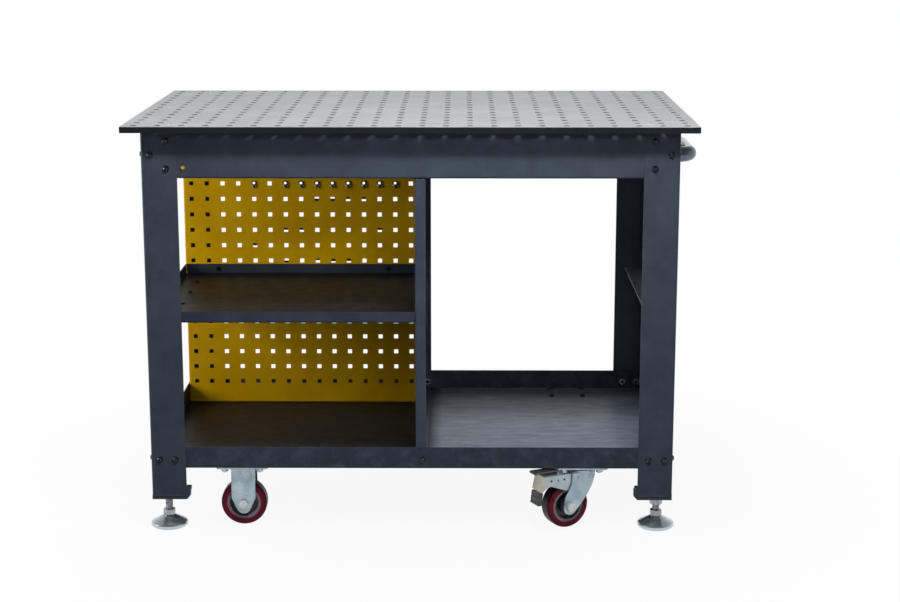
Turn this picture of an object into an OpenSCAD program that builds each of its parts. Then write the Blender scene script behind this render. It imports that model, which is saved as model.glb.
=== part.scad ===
// Mobile welding table: a perforated steel top on a bolted sheet steel frame,
// with a pegboard bay, levelling feet, two rigid casters and two braked swivel casters.
// X runs along the table, Y away from its front, Z up. The origin is on the floor, under the middle of
// everything, handle included.

/* [Top] */
// Length of the top plate
top_l = 1200; // [1100:50:1600]
// Depth of the top plate
top_d = 750; // [700:50:900]
// Thickness of the top plate
top_t = 13; // [10:1:20]
// Height of the work surface above the floor
top_h = 885; // [860:1:960]
// Diameter of the fixture holes
hole_d = 16; // [10:1:20]
// Distance from one fixture hole to the next
hole_pitch = 50; // [45:1:75]
// Least distance from the outer fixture holes to the edge
hole_margin = 25; // [20:1:30]
// Overhang of the top past the legs
overhang = 36; // [30:1:40]

/* [Legs] */
// Width of each wall of a leg
leg_w = 75; // [70:1:90]
// Sheet thickness of the legs
leg_t = 3; // [2:0.5:4]
// Height of the legs' base plates above the floor
leg_clear = 69; // [66:1:76]
// Thickness of a base plate
base_t = 9; // [6:1:12]
// Distance that a base plate's lug stands out past the leg
lug_out = 8; // [5:1:9]
// Height of the lug on a base plate
lug_h = 24; // [16:1:30]

/* [Aprons and rails] */
// Sheet thickness of the aprons and side rails
apron_t = 2.5; // [2:0.5:4]
// Height of the aprons
apron_h = 100; // [90:1:120]
// Width of the aprons' lower flange
apron_foot = 20; // [18:1:24]
// Width of the side rails' top
rail_w = 52; // [45:1:60]
// Height of the side rails
rail_h = 50; // [45:1:60]
// Overlap of a side rail with a leg
rail_lap = 27; // [24:1:34]

/* [Tray, shelf and divider] */
// Height of the tray's underside above the floor
tray_z = 138.5; // [134:0.5:150]
// Height of the tray's walls
tray_h = 48; // [40:1:60]
// Sheet thickness of the tray, shelf and divider
pan_t = 2; // [1.5:0.5:3]
// Gap between the walls at a folded corner
corner_gap = 1.2; // [0.6:0.1:3]
// Height of the mid shelf's underside
shelf_z = 461; // [420:1:520]
// Height of the mid shelf's walls
shelf_h = 24.5; // [18:0.5:40]
// Distance that the mid shelf and the pegboard stand off the rear apron
shelf_short = 135; // [112:1:220]
// Left face of the divider
divider_x = 8.3; // [-60:0.1:60]
// Width of the divider's flanges
divider_w = 23; // [20:1:30]

/* [Pegboard] */
// Sheet thickness of the pegboard
peg_t = 1.5; // [1:0.5:2]
// Depth of the pegboard's folded edges
peg_fold = 18; // [14:1:24]
// Side of a square hole
peg_hole = 10; // [6:1:12]
// Distance from one square hole to the next
peg_pitch = 37.5; // [32:0.5:45]
// Distance from the left edge to the first column
peg_left = 19; // [16:1:30]
// Distance from the lower edge to the first row
peg_low = 53; // [40:1:60]

/* [Handle] */
// Outer diameter of the handle tube
grip_d = 34; // [25:0.5:36]
// Wall of the handle tube
grip_wall = 2.6; // [1.5:0.1:3]
// Distance between the handle's two ends
grip_span = 200; // [160:1:300]
// Reach of the bar's centre from the apron
grip_reach = 52; // [48:0.5:80]
// Bend radius of the handle's centre line
grip_bend = 30; // [26:1:36]
// Height of the handle's centre above the apron's lower edge
grip_rise = 20; // [18:0.5:50]

/* [Bolts] */
// Diameter of the frame bolts
bolt_d = 8; // [6:1:8]
// Diameter of a frame bolt's head
bolt_head_d = 14; // [12:0.5:15]
// Height of a frame bolt's head
bolt_head_h = 4.4; // [3:0.1:5]
// Shank length of a frame bolt
bolt_len = 12; // [12:0.5:16]
// Width of a nut across its flats
nut_flat = 13; // [11:0.5:13]
// Thickness of a nut
nut_t = 6.5; // [5:0.1:6.5]
// Distance from a leg's corner to its outer bolts
bolt_edge = 19; // [18:0.5:22]
// Distance from a leg's corner to its inner bolts
bolt_inner = 52.5; // [45:0.5:60]
// Spread of the apron bolts above and below the middle of the apron
bolt_spread = 29; // [20:1:34]
// Height of the tray bolts above the tray's underside
tray_bolt_up = 20.5; // [16:0.5:26]
// Diameter of the light bolts that hold shelf, divider and pegboard
light_d = 6; // [4:1:6]
// Shank length of a light bolt
light_len = 12; // [11:0.5:14]

/* [Levelling feet] */
// Diameter of a foot
foot_d = 80; // [60:1:90]
// Height of a foot's dish
foot_h = 25; // [20:0.5:26]
// Diameter of a foot's spindle
spindle_d = 16; // [12:1:18]
// Length of a spindle
spindle_len = 101; // [90:1:103]
// Width of the hexagons on the spindle, across flats
foot_hex = 24; // [20:1:27]
// Height of the spindle's own hexagon
foot_hex_h = 13; // [10:0.5:14]
// Thickness of the lock nuts
lock_t = 12; // [8:0.5:12]
// Distance from a leg's corner faces to the foot's axis
foot_inset = 31; // [27:1:38]

/* [Casters] */
// Diameter of the wheels
wheel_d = 100; // [90:1:102]
// Width of the tread
tread_w = 32; // [28:1:34]
// Thickness of the tread
tread_t = 13; // [8:0.5:14]
// Gap between the wheels and the floor while the table stands on its feet
wheel_gap = 1; // [0.5:0.5:6]
// Length of a caster's top plate
plate_l = 112; // [100:1:116]
// Width of a caster's top plate
plate_w = 85; // [82:1:92]
// Thickness of a caster's top plate
plate_t = 3.5; // [3:0.5:5]
// Distance between a top plate's holes along the table
plate_hole_x = 76; // [74:1:84]
// Distance between a top plate's holes across the table
plate_hole_y = 68; // [66:1:72]
// Distance from the legs' outer faces to a caster's middle, along the table
caster_in_x = 195; // [170:1:240]
// Distance from the legs' outer faces to a caster's middle, across the table
caster_in_y = 49; // [48:1:80]
// Sheet thickness of the forks
fork_t = 3.5; // [2.5:0.5:4]
// Gap between the hub's face and a fork's cheek
fork_gap = 2.5; // [2:0.5:4]
// Distance from the swivel axis back to the wheel's axle
trail = 40; // [34:1:44]
// Direction that the front swivel caster trails in
yaw_front = 206.6; // [180:0.1:230]
// Direction that the rear swivel caster trails in
yaw_rear = 193; // [170:0.1:220]
// Diameter of the wheel axles and kingpins
axle_d = 12; // [10:1:12]
// Width of the brake arm inside the fork
brake_w = 39; // [37:0.5:39]
// Angle that the brake arm turns through
brake_throw = 7; // [5:0.5:9]

/* [Hidden] */
$fn = 48;

// Radial clearance of a running fit
run = 0.05;
// Gap between two pieces that lie side by side
seat = 0.2;
// Radial clearance of a bolt in its hole
bolt_play = 0.5;
// Inner radius of the bends in folded sheet
bend_r = 2;
// Overshoot of a cut past the face that it opens
eps = 1;

// Outer faces of the legs, measured from the middle of the table
frame_x = top_l / 2 - overhang;
frame_y = top_d / 2 - overhang;
// Outer faces of the aprons and the tray, which lie inside the legs
inner_x = frame_x - leg_t;
inner_y = frame_y - leg_t;
// Underside of the top plate
frame_top = top_h - top_t;
// Lower edge of the aprons
apron_z = frame_top - apron_h;
// Face of the aprons' webs that the divider meets
web_y = inner_y - max(apron_t, pan_t);

// Number of fixture holes along and across the top
holes_x = floor((top_l - 2 * hole_margin) / hole_pitch) + 1;
holes_y = floor((top_d - 2 * hole_margin) / hole_pitch) + 1;
grid_x = (holes_x - 1) * hole_pitch;
grid_y = (holes_y - 1) * hole_pitch;

// Plate screws lie between the fixture holes, over the aprons' top flanges
screw_head_d = 16;
screw_len = top_t + apron_t + nut_t + 1;
screw_y = (grid_y - hole_pitch) / 2;
screw_x = (grid_x - hole_pitch) / 2;
screw_land = 14;
flange_y = inner_y - screw_y + screw_land;
flange_x = inner_x - screw_x + screw_land;
long_side_screws = [screw_x - hole_pitch, 4 * hole_pitch];
short_side_screws = [-(screw_y - hole_pitch), 0, screw_y - hole_pitch];

// Levels of the tray, shelf, divider and pegboard
tray_floor = tray_z + pan_t;
shelf_left = -(inner_x - apron_t - seat);
shelf_right = divider_x - seat;
shelf_l = shelf_right - shelf_left;
shelf_back = web_y - shelf_short;
shelf_d = shelf_back + web_y;
peg_y = shelf_back + seat;
peg_top = apron_z - seat;
peg_h = peg_top - tray_floor;
peg_cols = floor((shelf_l - 2 * peg_left) / peg_pitch + 0.6) + 1;
peg_rows = floor((peg_h - peg_low - peg_hole) / peg_pitch) + 1;

// Places of the light bolts
light_head_d = 10.5;
light_head_h = 3.3;
light_flat = 10;
light_nut_t = 5;
shelf_wall_z = shelf_z + shelf_h / 2 + 1;
rail_slots = [-150, -30, 90];
rail_slot_x = inner_x - rail_w + 6;
rail_slot_w = 7;
rail_slot_l = 14;
divider_mid = divider_x + divider_w * 0.6;
peg_bolts_x = [shelf_left + shelf_l * 0.14, shelf_left + shelf_l * 0.86];
peg_side_z = [tray_floor + 100, shelf_z - rail_h / 2, apron_z - 100];

// Offset that puts the origin under the middle of the table with its handle
table_x = -(inner_x + grip_reach + grip_d / 2 - top_l / 2) / 2;

// Feet
foot_x = frame_x - foot_inset;
foot_y = frame_y - foot_inset;
collar_h = 5;
collar_d = foot_hex - 1;
lug_w = 12;

// Casters
caster_x = frame_x - caster_in_x;
caster_y = frame_y - caster_in_y;
plate_z = tray_z - plate_t;
wheel_r = wheel_d / 2;
axle_z = wheel_gap + wheel_r;
axle_r = axle_d / 2;
hub_w = tread_w + 4;
cheek_in = hub_w / 2 + fork_gap;
cheek_out = cheek_in + fork_t;
bearing_r = 14;
bearing_w = 8;
core_r = wheel_r - tread_t;
hub_r = 19;
tip_r = 15.5;
tip_drop = 7;
race_h = 6;
crown_top = plate_z - race_h - 0.4;
crown_z = crown_top - fork_t;
king_nut_h = 7;
king_flat = 17;
axle_flat = 18;
axle_head_h = 7;
axle_nut_h = 9;

// Brake, in the fork's own frame: along the trail and up
pivot = [18, crown_z - 11];
arm_t = 2.5;
arm_top = crown_z - 1;
arm_end = trail + wheel_r + 11;
pedal_foot = [arm_end + 7, arm_top - 34];
pedal_tip = [arm_end + 10.5, arm_top - 61];
pin_r = 3;
pad_w = 34;
pedal_w = brake_w + 5;
lever_w = 26;
lever_in = norm([plate_hole_x, plate_hole_y]) / 2 + nut_flat * 0.6 + 5;
lever_out = arm_end + 17;
lever_top = plate_z - 1;
lever_roll = 3.2;
shoe_w = 24;

// Quarter ring of folded sheet, in the first quadrant
module bend_2d(t) {
    intersection() {
        difference() {
            circle(bend_r + t);
            circle(bend_r);
        }
        square(bend_r + t);
    }
}

// Folded sheet with its corner at the origin and walls along both axes
module angle_2d(a, b, t) {
    r = bend_r + t;
    translate([r, 0]) square([a - r, t]);
    translate([0, r]) square([t, b - r]);
    translate([r, r]) rotate(180) bend_2d(t);
}

// Folded channel with its web on the Y axis and both flanges towards +X
module channel_2d(h, upper, lower, t) {
    r = bend_r + t;
    translate([0, r]) square([t, h - 2 * r]);
    translate([r, 0]) square([lower - r, t]);
    translate([r, h - t]) square([upper - r, t]);
    translate([r, r]) rotate(180) bend_2d(t);
    translate([r, h - r]) rotate(90) bend_2d(t);
}

// One folded edge of a pan along X, with its outer face at Y = 0 and its floor towards +Y
module pan_edge(bend_len, wall_len, h, t) {
    r = bend_r + t;
    rotate([90, 0, 90]) linear_extrude(bend_len, center = true) translate([r, r]) rotate(180) bend_2d(t);
    translate([-wall_len / 2, 0, r]) cube([wall_len, t, h - r]);
}

// Pan of folded sheet, centred, with its floor at Z = 0, four walls upwards and open corners
module pan(l, w, h, t) {
    r = bend_r + t;
    translate([r - l / 2, r - w / 2, 0]) cube([l - 2 * r, w - 2 * r, t]);
    for (side = [0, 180]) {
        rotate(side) translate([0, -w / 2, 0]) pan_edge(l - 2 * r, l - 2 * (bend_r + seat), h, t);
        rotate(side + 90) translate([0, -l / 2, 0]) pan_edge(w - 2 * r, w - 2 * (t + corner_gap), h, t);
    }
}

// Round hole through sheet that lies at or below Z = 0
module drill(d, depth = 8) {
    translate([0, 0, -depth]) cylinder(d = d, h = depth + eps);
}

// Slot through sheet that lies below Z = 0, long in X
module slot(w, l, depth = 8) {
    for (s = [-1, 1]) translate([s * (l - w) / 2, 0, 0]) drill(w, depth);
    translate([-(l - w) / 2, -w / 2, -depth]) cube([l - w, w, depth + eps]);
}

// Button head bolt: the head's seat is at Z = 0 and the shank points down
module button_bolt(d, head_d, head_h, len) {
    top_r = head_d * 0.28;
    drop = (pow(head_d / 2, 2) - pow(top_r, 2) - pow(head_h, 2)) / (2 * head_h);
    difference() {
        intersection() {
            cylinder(d = head_d, h = head_h);
            translate([0, 0, -drop]) sphere(sqrt(pow(head_d / 2, 2) + drop * drop));
        }
        translate([0, 0, head_h * 0.45]) cylinder(d = d * 0.72, h = head_h, $fn = 6);
    }
    translate([0, 0, -len]) cylinder(d = d, h = len);
}

// Hexagon nut with its seat at Z = 0, body downwards
module hex_nut(flat, t, bore, turn = 0) {
    translate([0, 0, -t]) difference() {
        rotate(turn) cylinder(d = flat / cos(30), h = t, $fn = 6);
        translate([0, 0, -eps]) cylinder(d = bore + 2 * run, h = t + 2 * eps);
    }
}

// Bolts that join the aprons to the legs, drawn outwards from the legs' faces
module at_apron_bolts(face) {
    spots = [[bolt_edge, 0], [bolt_inner, bolt_spread], [bolt_inner, -bolt_spread]];
    mid = apron_z + apron_h / 2;
    for (sx = [-1, 1], sy = [-1, 1], p = spots) {
        if (face == "y") at_y_face(sx * (frame_x - p[0]), sy, mid + p[1]) children();
        if (face == "x") at_x_face(sx, sy * (frame_y - p[0]), mid + p[1]) children();
    }
}

// Bolts that join the tray to the legs
module at_tray_bolts(face) {
    z = tray_z + tray_bolt_up;
    for (sx = [-1, 1], sy = [-1, 1], p = [bolt_edge, bolt_inner]) {
        if (face == "y") at_y_face(sx * (frame_x - p), sy, z) children();
        if (face == "x") at_x_face(sx, sy * (frame_y - p), z) children();
    }
}

// Bolts that join the side rails to the legs
module at_rail_bolts() {
    for (sx = [-1, 1], sy = [-1, 1], dz = [15, 35])
        at_x_face(sx, sy * (frame_y - leg_w + rail_lap / 2), shelf_z - dz) children();
}

// A place on the legs' front or rear face, with Z outwards
module at_y_face(x, sy, z) {
    translate([x, sy * frame_y, z]) rotate([-90 * sy, 0, 0]) children();
}

// A place on the legs' left or right face, with Z outwards
module at_x_face(sx, y, z) {
    translate([sx * frame_x, y, z]) rotate([0, 90 * sx, 0]) children();
}

// Places of the plate screws, at the work surface
module at_plate_screws() {
    for (s = [-1, 1]) {
        for (sx = [-1, 1], x = long_side_screws) translate([sx * x, s * screw_y, top_h]) children();
        for (y = short_side_screws) translate([s * screw_x, y, top_h]) rotate(90) children();
    }
}

// Countersunk screw with its head flush at Z = 0
module plate_screw() {
    head_h = (screw_head_d - bolt_d) / 2;
    difference() {
        translate([0, 0, -head_h]) cylinder(d1 = bolt_d, d2 = screw_head_d, h = head_h);
        translate([0, 0, -3]) cylinder(d = 5.8, h = 3 + eps, $fn = 6);
    }
    translate([0, 0, -screw_len]) cylinder(d = bolt_d, h = screw_len - head_h + 0.01);
}

module top_plate() color("#b9bab8") difference() {
    translate([0, 0, frame_top]) linear_extrude(top_t) difference() {
        square([top_l, top_d], center = true);
        for (i = [0 : holes_x - 1], j = [0 : holes_y - 1])
            translate([i * hole_pitch - grid_x / 2, j * hole_pitch - grid_y / 2]) circle(d = hole_d);
    }
    at_plate_screws() {
        head_h = (screw_head_d - bolt_d) / 2;
        drill(bolt_d + 2 * bolt_play, top_t + eps);
        translate([0, 0, -head_h - seat]) cylinder(d1 = bolt_d, d2 = screw_head_d, h = head_h);
        translate([0, 0, -seat]) cylinder(d = screw_head_d, h = seat + eps);
    }
}

module plate_screws() color("#8c9094") at_plate_screws() translate([0, 0, -seat]) plate_screw();

// Long apron, along the front or rear of the table
module long_apron(sy) {
    end = inner_x - apron_t - bend_r - 2;
    color("#2e343e") difference() {
        rotate(sy < 0 ? 0 : 180) translate([0, -inner_y, apron_z]) rotate([90, 0, 90])
            linear_extrude(2 * (inner_x - bend_r - seat), center = true)
                channel_2d(apron_h, flange_y, apron_foot, apron_t);
        for (sx = [-1, 1])
            translate([sx * (end + 10), sy * (inner_y - apron_t - 50), frame_top - apron_h / 2])
                cube([20, 100, apron_h + 2 * eps], center = true);
        at_apron_bolts("y") drill(bolt_d + 2 * bolt_play);
        at_plate_screws() drill(bolt_d + 2 * bolt_play, top_t + 8);
        at_divider_top() drill(light_d + 2 * bolt_play, 2 * apron_t + 2);
    }
}

// Short apron, along the left or right of the table
module short_apron(sx) {
    color("#2e343e") difference() {
        rotate(sx < 0 ? -90 : 90) translate([0, -inner_x, apron_z]) rotate([90, 0, 90])
            linear_extrude(2 * (inner_y - apron_t - 0.3), center = true)
                channel_2d(apron_h, flange_x, apron_foot, apron_t);
        for (s = [-1, 1]) {
            apron_notch(sx, s, flange_y, flange_x, frame_top - apron_h / 2);
            apron_notch(sx, s, apron_foot, apron_foot, apron_z - eps);
        }
        at_apron_bolts("x") drill(bolt_d + 2 * bolt_play);
        at_plate_screws() drill(bolt_d + 2 * bolt_play, top_t + 8);
        if (sx > 0) at_handle_ends() drill(bolt_d + 2 * bolt_play);
    }
}

// Cut that clears a long apron's flange at the end of a short apron
module apron_notch(sx, s, depth, width, z) {
    out = inner_x - apron_t - bend_r;
    translate([sx > 0 ? out - width : -out, s > 0 ? inner_y - depth - 0.5 : -inner_y - eps, z])
        cube([width, depth + 0.5 + eps, apron_h / 2 + eps]);
}

module leg(sx, sy) {
    h = frame_top - leg_clear - base_t;
    color("#363d48") difference() {
        translate([sx * frame_x, sy * frame_y, leg_clear + base_t])
            rotate(sx > 0 ? (sy > 0 ? 180 : 90) : (sy > 0 ? -90 : 0))
                linear_extrude(h) angle_2d(leg_w, leg_w, leg_t);
        for (face = ["x", "y"]) {
            at_apron_bolts(face) drill(bolt_d + 2 * bolt_play);
            at_tray_bolts(face) drill(bolt_d + 2 * bolt_play);
        }
        at_rail_bolts() drill(bolt_d + 2 * bolt_play);
    }
}

// Base plate under a leg, with an upright tab at each of its two inner edges
module base_plate() {
    difference() {
        translate([0, 0, leg_clear]) {
            cube([leg_w, leg_w, base_t]);
            for (flip = [0, 1]) mirror([flip, -flip, 0])
                translate([0, lug_w, 0]) rotate([90, 0, 0]) linear_extrude(lug_w)
                    polygon([[leg_w - eps, 0], [leg_w, 0], [leg_w + lug_out, base_t], [leg_w + lug_out, lug_h],
                        [leg_w + seat, lug_h], [leg_w + seat, base_t], [leg_w - eps, base_t]]);
            translate([foot_inset, foot_inset, -collar_h]) cylinder(d = collar_d, h = collar_h);
        }
        translate([foot_inset, foot_inset, leg_clear - collar_h - eps])
            cylinder(d = spindle_d + 2 * run, h = base_t + collar_h + 2 * eps);
    }
}

module base_plates() color("#363d48") for (sx = [-1, 1], sy = [-1, 1])
    translate([sx * frame_x, sy * frame_y, 0]) mirror([sx > 0 ? 1 : 0, 0, 0])
        mirror([0, sy > 0 ? 1 : 0, 0]) base_plate();

module bottom_tray() color("#33373f") difference() {
    translate([0, 0, tray_z]) pan(2 * inner_x, 2 * inner_y, tray_h, pan_t);
    for (face = ["x", "y"]) at_tray_bolts(face) drill(bolt_d + 2 * bolt_play);
    at_divider_feet() drill(bolt_d + 2 * bolt_play);
    at_casters() at_plate_bolts() translate([0, 0, pan_t]) drill(bolt_d + 2 * bolt_play);
    at_peg_foot() drill(light_d + 2 * bolt_play);
}

module mid_shelf() color("#33373f") difference() {
    translate([(shelf_left + shelf_right) / 2, shelf_back - shelf_d / 2, shelf_z])
        pan(shelf_l, shelf_d, shelf_h, pan_t);
    at_rail_slots(-1) drill(light_d + 2 * bolt_play);
    at_shelf_end() drill(light_d + 2 * bolt_play);
    at_shelf_back() drill(light_d + 2 * bolt_play);
}

// Places where the shelf is bolted down to a side rail, at the shelf's floor
module at_rail_slots(sx) {
    for (y = rail_slots) translate([sx * rail_slot_x, y, shelf_z + pan_t]) children();
}

// Places where the shelf's end wall is bolted to the divider, Z towards the shelf's inside
module at_shelf_end() {
    for (f = [0.15, 0.5, 0.85])
        translate([shelf_right - pan_t, shelf_back - f * shelf_d, shelf_wall_z])
            rotate([0, -90, 0]) children();
}

// Places where the shelf's back wall is bolted to the pegboard, Z towards the front
module at_shelf_back() {
    for (x = peg_bolts_x) translate([x, shelf_back - pan_t, shelf_wall_z]) rotate([90, 0, 0]) children();
}

// Places where the pegboard's folded foot is bolted to the tray, at the fold's upper face
module at_peg_foot() {
    for (x = peg_bolts_x) translate([x, peg_y + peg_fold / 2 + 1, tray_floor + peg_t]) children();
}

// Places where the pegboard's right fold is bolted to the divider, Z towards the left
module at_peg_side() {
    for (z = [peg_side_z[0], peg_side_z[2]])
        translate([shelf_right - peg_t, peg_y + peg_fold / 2 + 1, z]) rotate([0, -90, 0]) children();
}

// Place where the pegboard's left fold is bolted to the left side rail, Z towards the right
module at_peg_rail() {
    translate([shelf_left + peg_t, peg_y + peg_fold / 2 + 1, peg_side_z[1]]) rotate([0, 90, 0]) children();
}

// Places where the divider's front and rear flanges are bolted to the tray, Z outwards
module at_divider_feet() {
    for (s = [-1, 1])
        translate([divider_mid, s * inner_y, tray_z + tray_bolt_up]) rotate([-90 * s, 0, 0]) children();
}

// Places where the divider's top flange is bolted to the aprons, at the apron flange's upper face
module at_divider_top() {
    for (s = [-1, 1])
        translate([divider_mid, s * (inner_y - apron_foot * 0.62), apron_z + apron_t]) children();
}

module divider() {
    h = apron_z - tray_floor;
    color("#363d48") difference() {
        translate([divider_x, 0, tray_floor + h / 2]) rotate([0, 90, 0]) pan(h, 2 * web_y, divider_w, pan_t);
        at_divider_feet() drill(bolt_d + 2 * bolt_play, 10);
        at_divider_top() drill(light_d + 2 * bolt_play, 10);
        at_shelf_end() drill(light_d + 2 * bolt_play, 10);
        at_peg_side() drill(light_d + 2 * bolt_play, 10);
    }
}

module pegboard() {
    color("#e0aa00") difference() {
        translate([shelf_left, peg_y, tray_floor]) difference() {
            translate([shelf_l / 2, 0, peg_h / 2]) rotate([-90, 0, 0]) pan(shelf_l, peg_h, peg_fold, peg_t);
            for (i = [0 : peg_cols - 1], j = [0 : peg_rows - 1])
                translate([peg_left + i * peg_pitch, 0, peg_low + j * peg_pitch])
                    cube([peg_hole, 3 * peg_t, peg_hole], center = true);
        }
        translate([-inner_x, peg_y - eps, shelf_z - apron_t - bend_r])
            cube([rail_w + 2, peg_fold + 2 * eps, apron_t + bend_r + 1]);
        at_shelf_back() drill(light_d + 2 * bolt_play);
        at_peg_foot() drill(light_d + 2 * bolt_play);
        at_peg_side() drill(light_d + 2 * bolt_play);
        at_peg_rail() drill(light_d + 2 * bolt_play);
    }
}

// Side rail between the front and rear legs, with its top flange inwards
module side_rail(sx) {
    end = frame_y - leg_w + rail_lap;
    color("#363d48") difference() {
        translate([sx * inner_x, 0, shelf_z]) mirror([sx > 0 ? 1 : 0, 0, 0]) rotate([90, 0, 0])
            linear_extrude(2 * end, center = true) mirror([0, 1]) angle_2d(rail_w, rail_h, apron_t);
        at_rail_bolts() drill(bolt_d + 2 * bolt_play);
        at_rail_slots(sx) rotate(90) slot(rail_slot_w, rail_slot_l);
        if (sx < 0) at_peg_rail() drill(light_d + 2 * bolt_play);
    }
}

// Places where the handle's ends meet the right apron, Z outwards
module at_handle_ends() {
    for (s = [-1, 1])
        translate([inner_x, s * grip_span / 2, apron_z + grip_rise]) rotate([0, 90, 0]) children();
}

// Ring section of the handle tube
module grip_2d() {
    difference() {
        circle(d = grip_d);
        circle(d = grip_d - 2 * grip_wall);
    }
}

module handle_tube() {
    stub = grip_reach - grip_bend;
    bar = grip_span / 2 - grip_bend;
    color("#d5d8db") {
        at_handle_ends() linear_extrude(stub) grip_2d();
        translate([inner_x + grip_reach, 0, apron_z + grip_rise]) rotate([90, 0, 0])
            linear_extrude(2 * bar, center = true) grip_2d();
        for (s = [-1, 1])
            translate([inner_x + stub, s * bar, apron_z + grip_rise])
                rotate(s > 0 ? 0 : -90) rotate_extrude(angle = 90) translate([grip_bend, 0]) grip_2d();
    }
}

module handle_plugs() color("#9a9da0") at_handle_ends() difference() {
    translate([0, 0, seat]) cylinder(d = grip_d - 2 * grip_wall - 0.1, h = 16);
    cylinder(d = bolt_d + 2 * run, h = 14);
}

// Every bolt of the frame: aprons, tray and rails to legs, divider to tray, handle to apron
module frame_bolts() color("#24272c") {
    for (face = ["x", "y"]) {
        at_apron_bolts(face) button_bolt(bolt_d, bolt_head_d, bolt_head_h, bolt_len);
        at_tray_bolts(face) button_bolt(bolt_d, bolt_head_d, bolt_head_h, bolt_len);
    }
    at_rail_bolts() button_bolt(bolt_d, bolt_head_d, bolt_head_h, bolt_len);
    at_divider_feet() button_bolt(bolt_d, bolt_head_d, bolt_head_h, bolt_len);
    at_handle_ends() translate([0, 0, -apron_t]) rotate([180, 0, 0])
        button_bolt(bolt_d, bolt_head_d, bolt_head_h, bolt_len + 3);
}

module frame_nuts() color("#8c9094") {
    at_apron_bolts("y") translate([0, 0, -leg_t - apron_t]) hex_nut(nut_flat, nut_t, bolt_d, 30);
    at_apron_bolts("x") translate([0, 0, -leg_t - apron_t]) hex_nut(nut_flat, nut_t, bolt_d);
    at_tray_bolts("y") translate([0, 0, -leg_t - pan_t]) hex_nut(nut_flat, nut_t, bolt_d, 30);
    at_tray_bolts("x") translate([0, 0, -leg_t - pan_t]) hex_nut(nut_flat, nut_t, bolt_d);
    at_rail_bolts() translate([0, 0, -leg_t - apron_t]) hex_nut(nut_flat, nut_t, bolt_d);
    at_divider_feet() translate([0, 0, -max(apron_t, pan_t) - pan_t]) hex_nut(nut_flat, nut_t, bolt_d, 30);
    at_plate_screws() translate([0, 0, -top_t - apron_t]) hex_nut(nut_flat, nut_t, bolt_d);
}

module light_bolts() color("#24272c") {
    at_rail_slots(-1) light_bolt();
    at_shelf_end() light_bolt();
    at_shelf_back() light_bolt();
    at_divider_top() light_bolt();
    at_peg_foot() light_bolt();
    at_peg_side() light_bolt();
    at_peg_rail() light_bolt();
}

module light_bolt() {
    button_bolt(light_d, light_head_d, light_head_h, light_len);
}

// Nuts of the light bolts, each under the sheets that its bolt clamps
module light_nuts() color("#8c9094") {
    at_rail_slots(-1) light_nut(pan_t + apron_t);
    at_shelf_end() light_nut(2 * pan_t + seat);
    at_shelf_back() light_nut(pan_t + peg_t + seat);
    at_divider_top() light_nut(pan_t + apron_t);
    at_peg_foot() light_nut(pan_t + peg_t);
    at_peg_side() light_nut(pan_t + peg_t + seat);
    at_peg_rail() light_nut(apron_t + peg_t + seat);
}

module light_nut(grip) {
    translate([0, 0, -grip]) hex_nut(light_flat, light_nut_t, light_d);
}

// The four caster places, at the floor
module at_casters() {
    for (sx = [-1, 1], sy = [-1, 1]) translate([sx * caster_x, sy * caster_y, 0]) children();
}

// The four holes of a caster's top plate, at the tray's underside
module at_plate_bolts() {
    for (sx = [-1, 1], sy = [-1, 1])
        translate([sx * plate_hole_x / 2, sy * plate_hole_y / 2, tray_z]) children();
}

// Caster bolts: round heads on the tray's floor, and nuts under the caster plates
module caster_bolts() color("#1d1e21") at_casters() at_plate_bolts()
    translate([0, 0, pan_t]) button_bolt(bolt_d, bolt_head_d, bolt_head_h, pan_t + plate_t + nut_t + 1.5);

module caster_nuts() color("#b9bfc4") at_casters() at_plate_bolts()
    translate([0, 0, -plate_t]) hex_nut(nut_flat, nut_t, bolt_d);

// Caster top plate with rounded corners and four bolt holes
module caster_plate() {
    r = 9;
    difference() {
        translate([0, 0, plate_z]) linear_extrude(plate_t) {
            square([plate_l - 2 * r, plate_w], center = true);
            square([plate_l, plate_w - 2 * r], center = true);
            for (sx = [-1, 1], sy = [-1, 1])
                translate([sx * (plate_l / 2 - r), sy * (plate_w / 2 - r)]) circle(r);
        }
        at_plate_bolts() drill(bolt_d + 2 * bolt_play);
    }
}

// Point where a tangent from p meets the circle of radius r round c, on the given side
function tangent(p, c, r, side) =
    let (v = p - c, a = atan2(v[1], v[0]) + side * acos(r / norm(v))) c + r * [cos(a), sin(a)];

// Points of a smooth curve from p0 to p3 that leaves towards p1 and arrives from p2
function curve(p0, p1, p2, p3, n) = [for (k = [0 : n]) let (t = k / n)
    pow(1 - t, 3) * p0 + 3 * t * pow(1 - t, 2) * p1 + 3 * t * t * (1 - t) * p2 + pow(t, 3) * p3];

// Outline of the rigid bracket's cheek: a straight band that narrows to a round tip
module straight_cheek_2d(back, front, top) {
    tip = [0, axle_z - tip_drop];
    bend = axle_z + 13;
    difference() {
        union() {
            translate(tip) circle(tip_r);
            polygon([[back, top], [back, bend], tangent([back, bend], tip, tip_r, 1),
                tangent([front, bend], tip, tip_r, -1), [front, bend], [front, top]]);
        }
        translate([0, axle_z]) circle(axle_r + run);
    }
}

// Outline of the swivel fork's cheek: it sweeps back from the crown to the axle in two smooth curves
module swept_cheek_2d(back, front, top) {
    tip = [trail - 1, axle_z - tip_drop / 2];
    low = tangent([back + 24, tip[1] + 16], tip, tip_r, 1);
    difference() {
        union() {
            translate(tip) circle(tip_r);
            polygon(concat([[front, top]], curve([back, top], [back, top - 26], [back + 22, tip[1] + 18], low, 8),
                curve(tip + [tip_r, 0], tip + [tip_r, 40], [front, top - 42], [front, top - 6], 8)));
        }
        translate([trail, axle_z]) circle(axle_r + run);
    }
}

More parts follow.
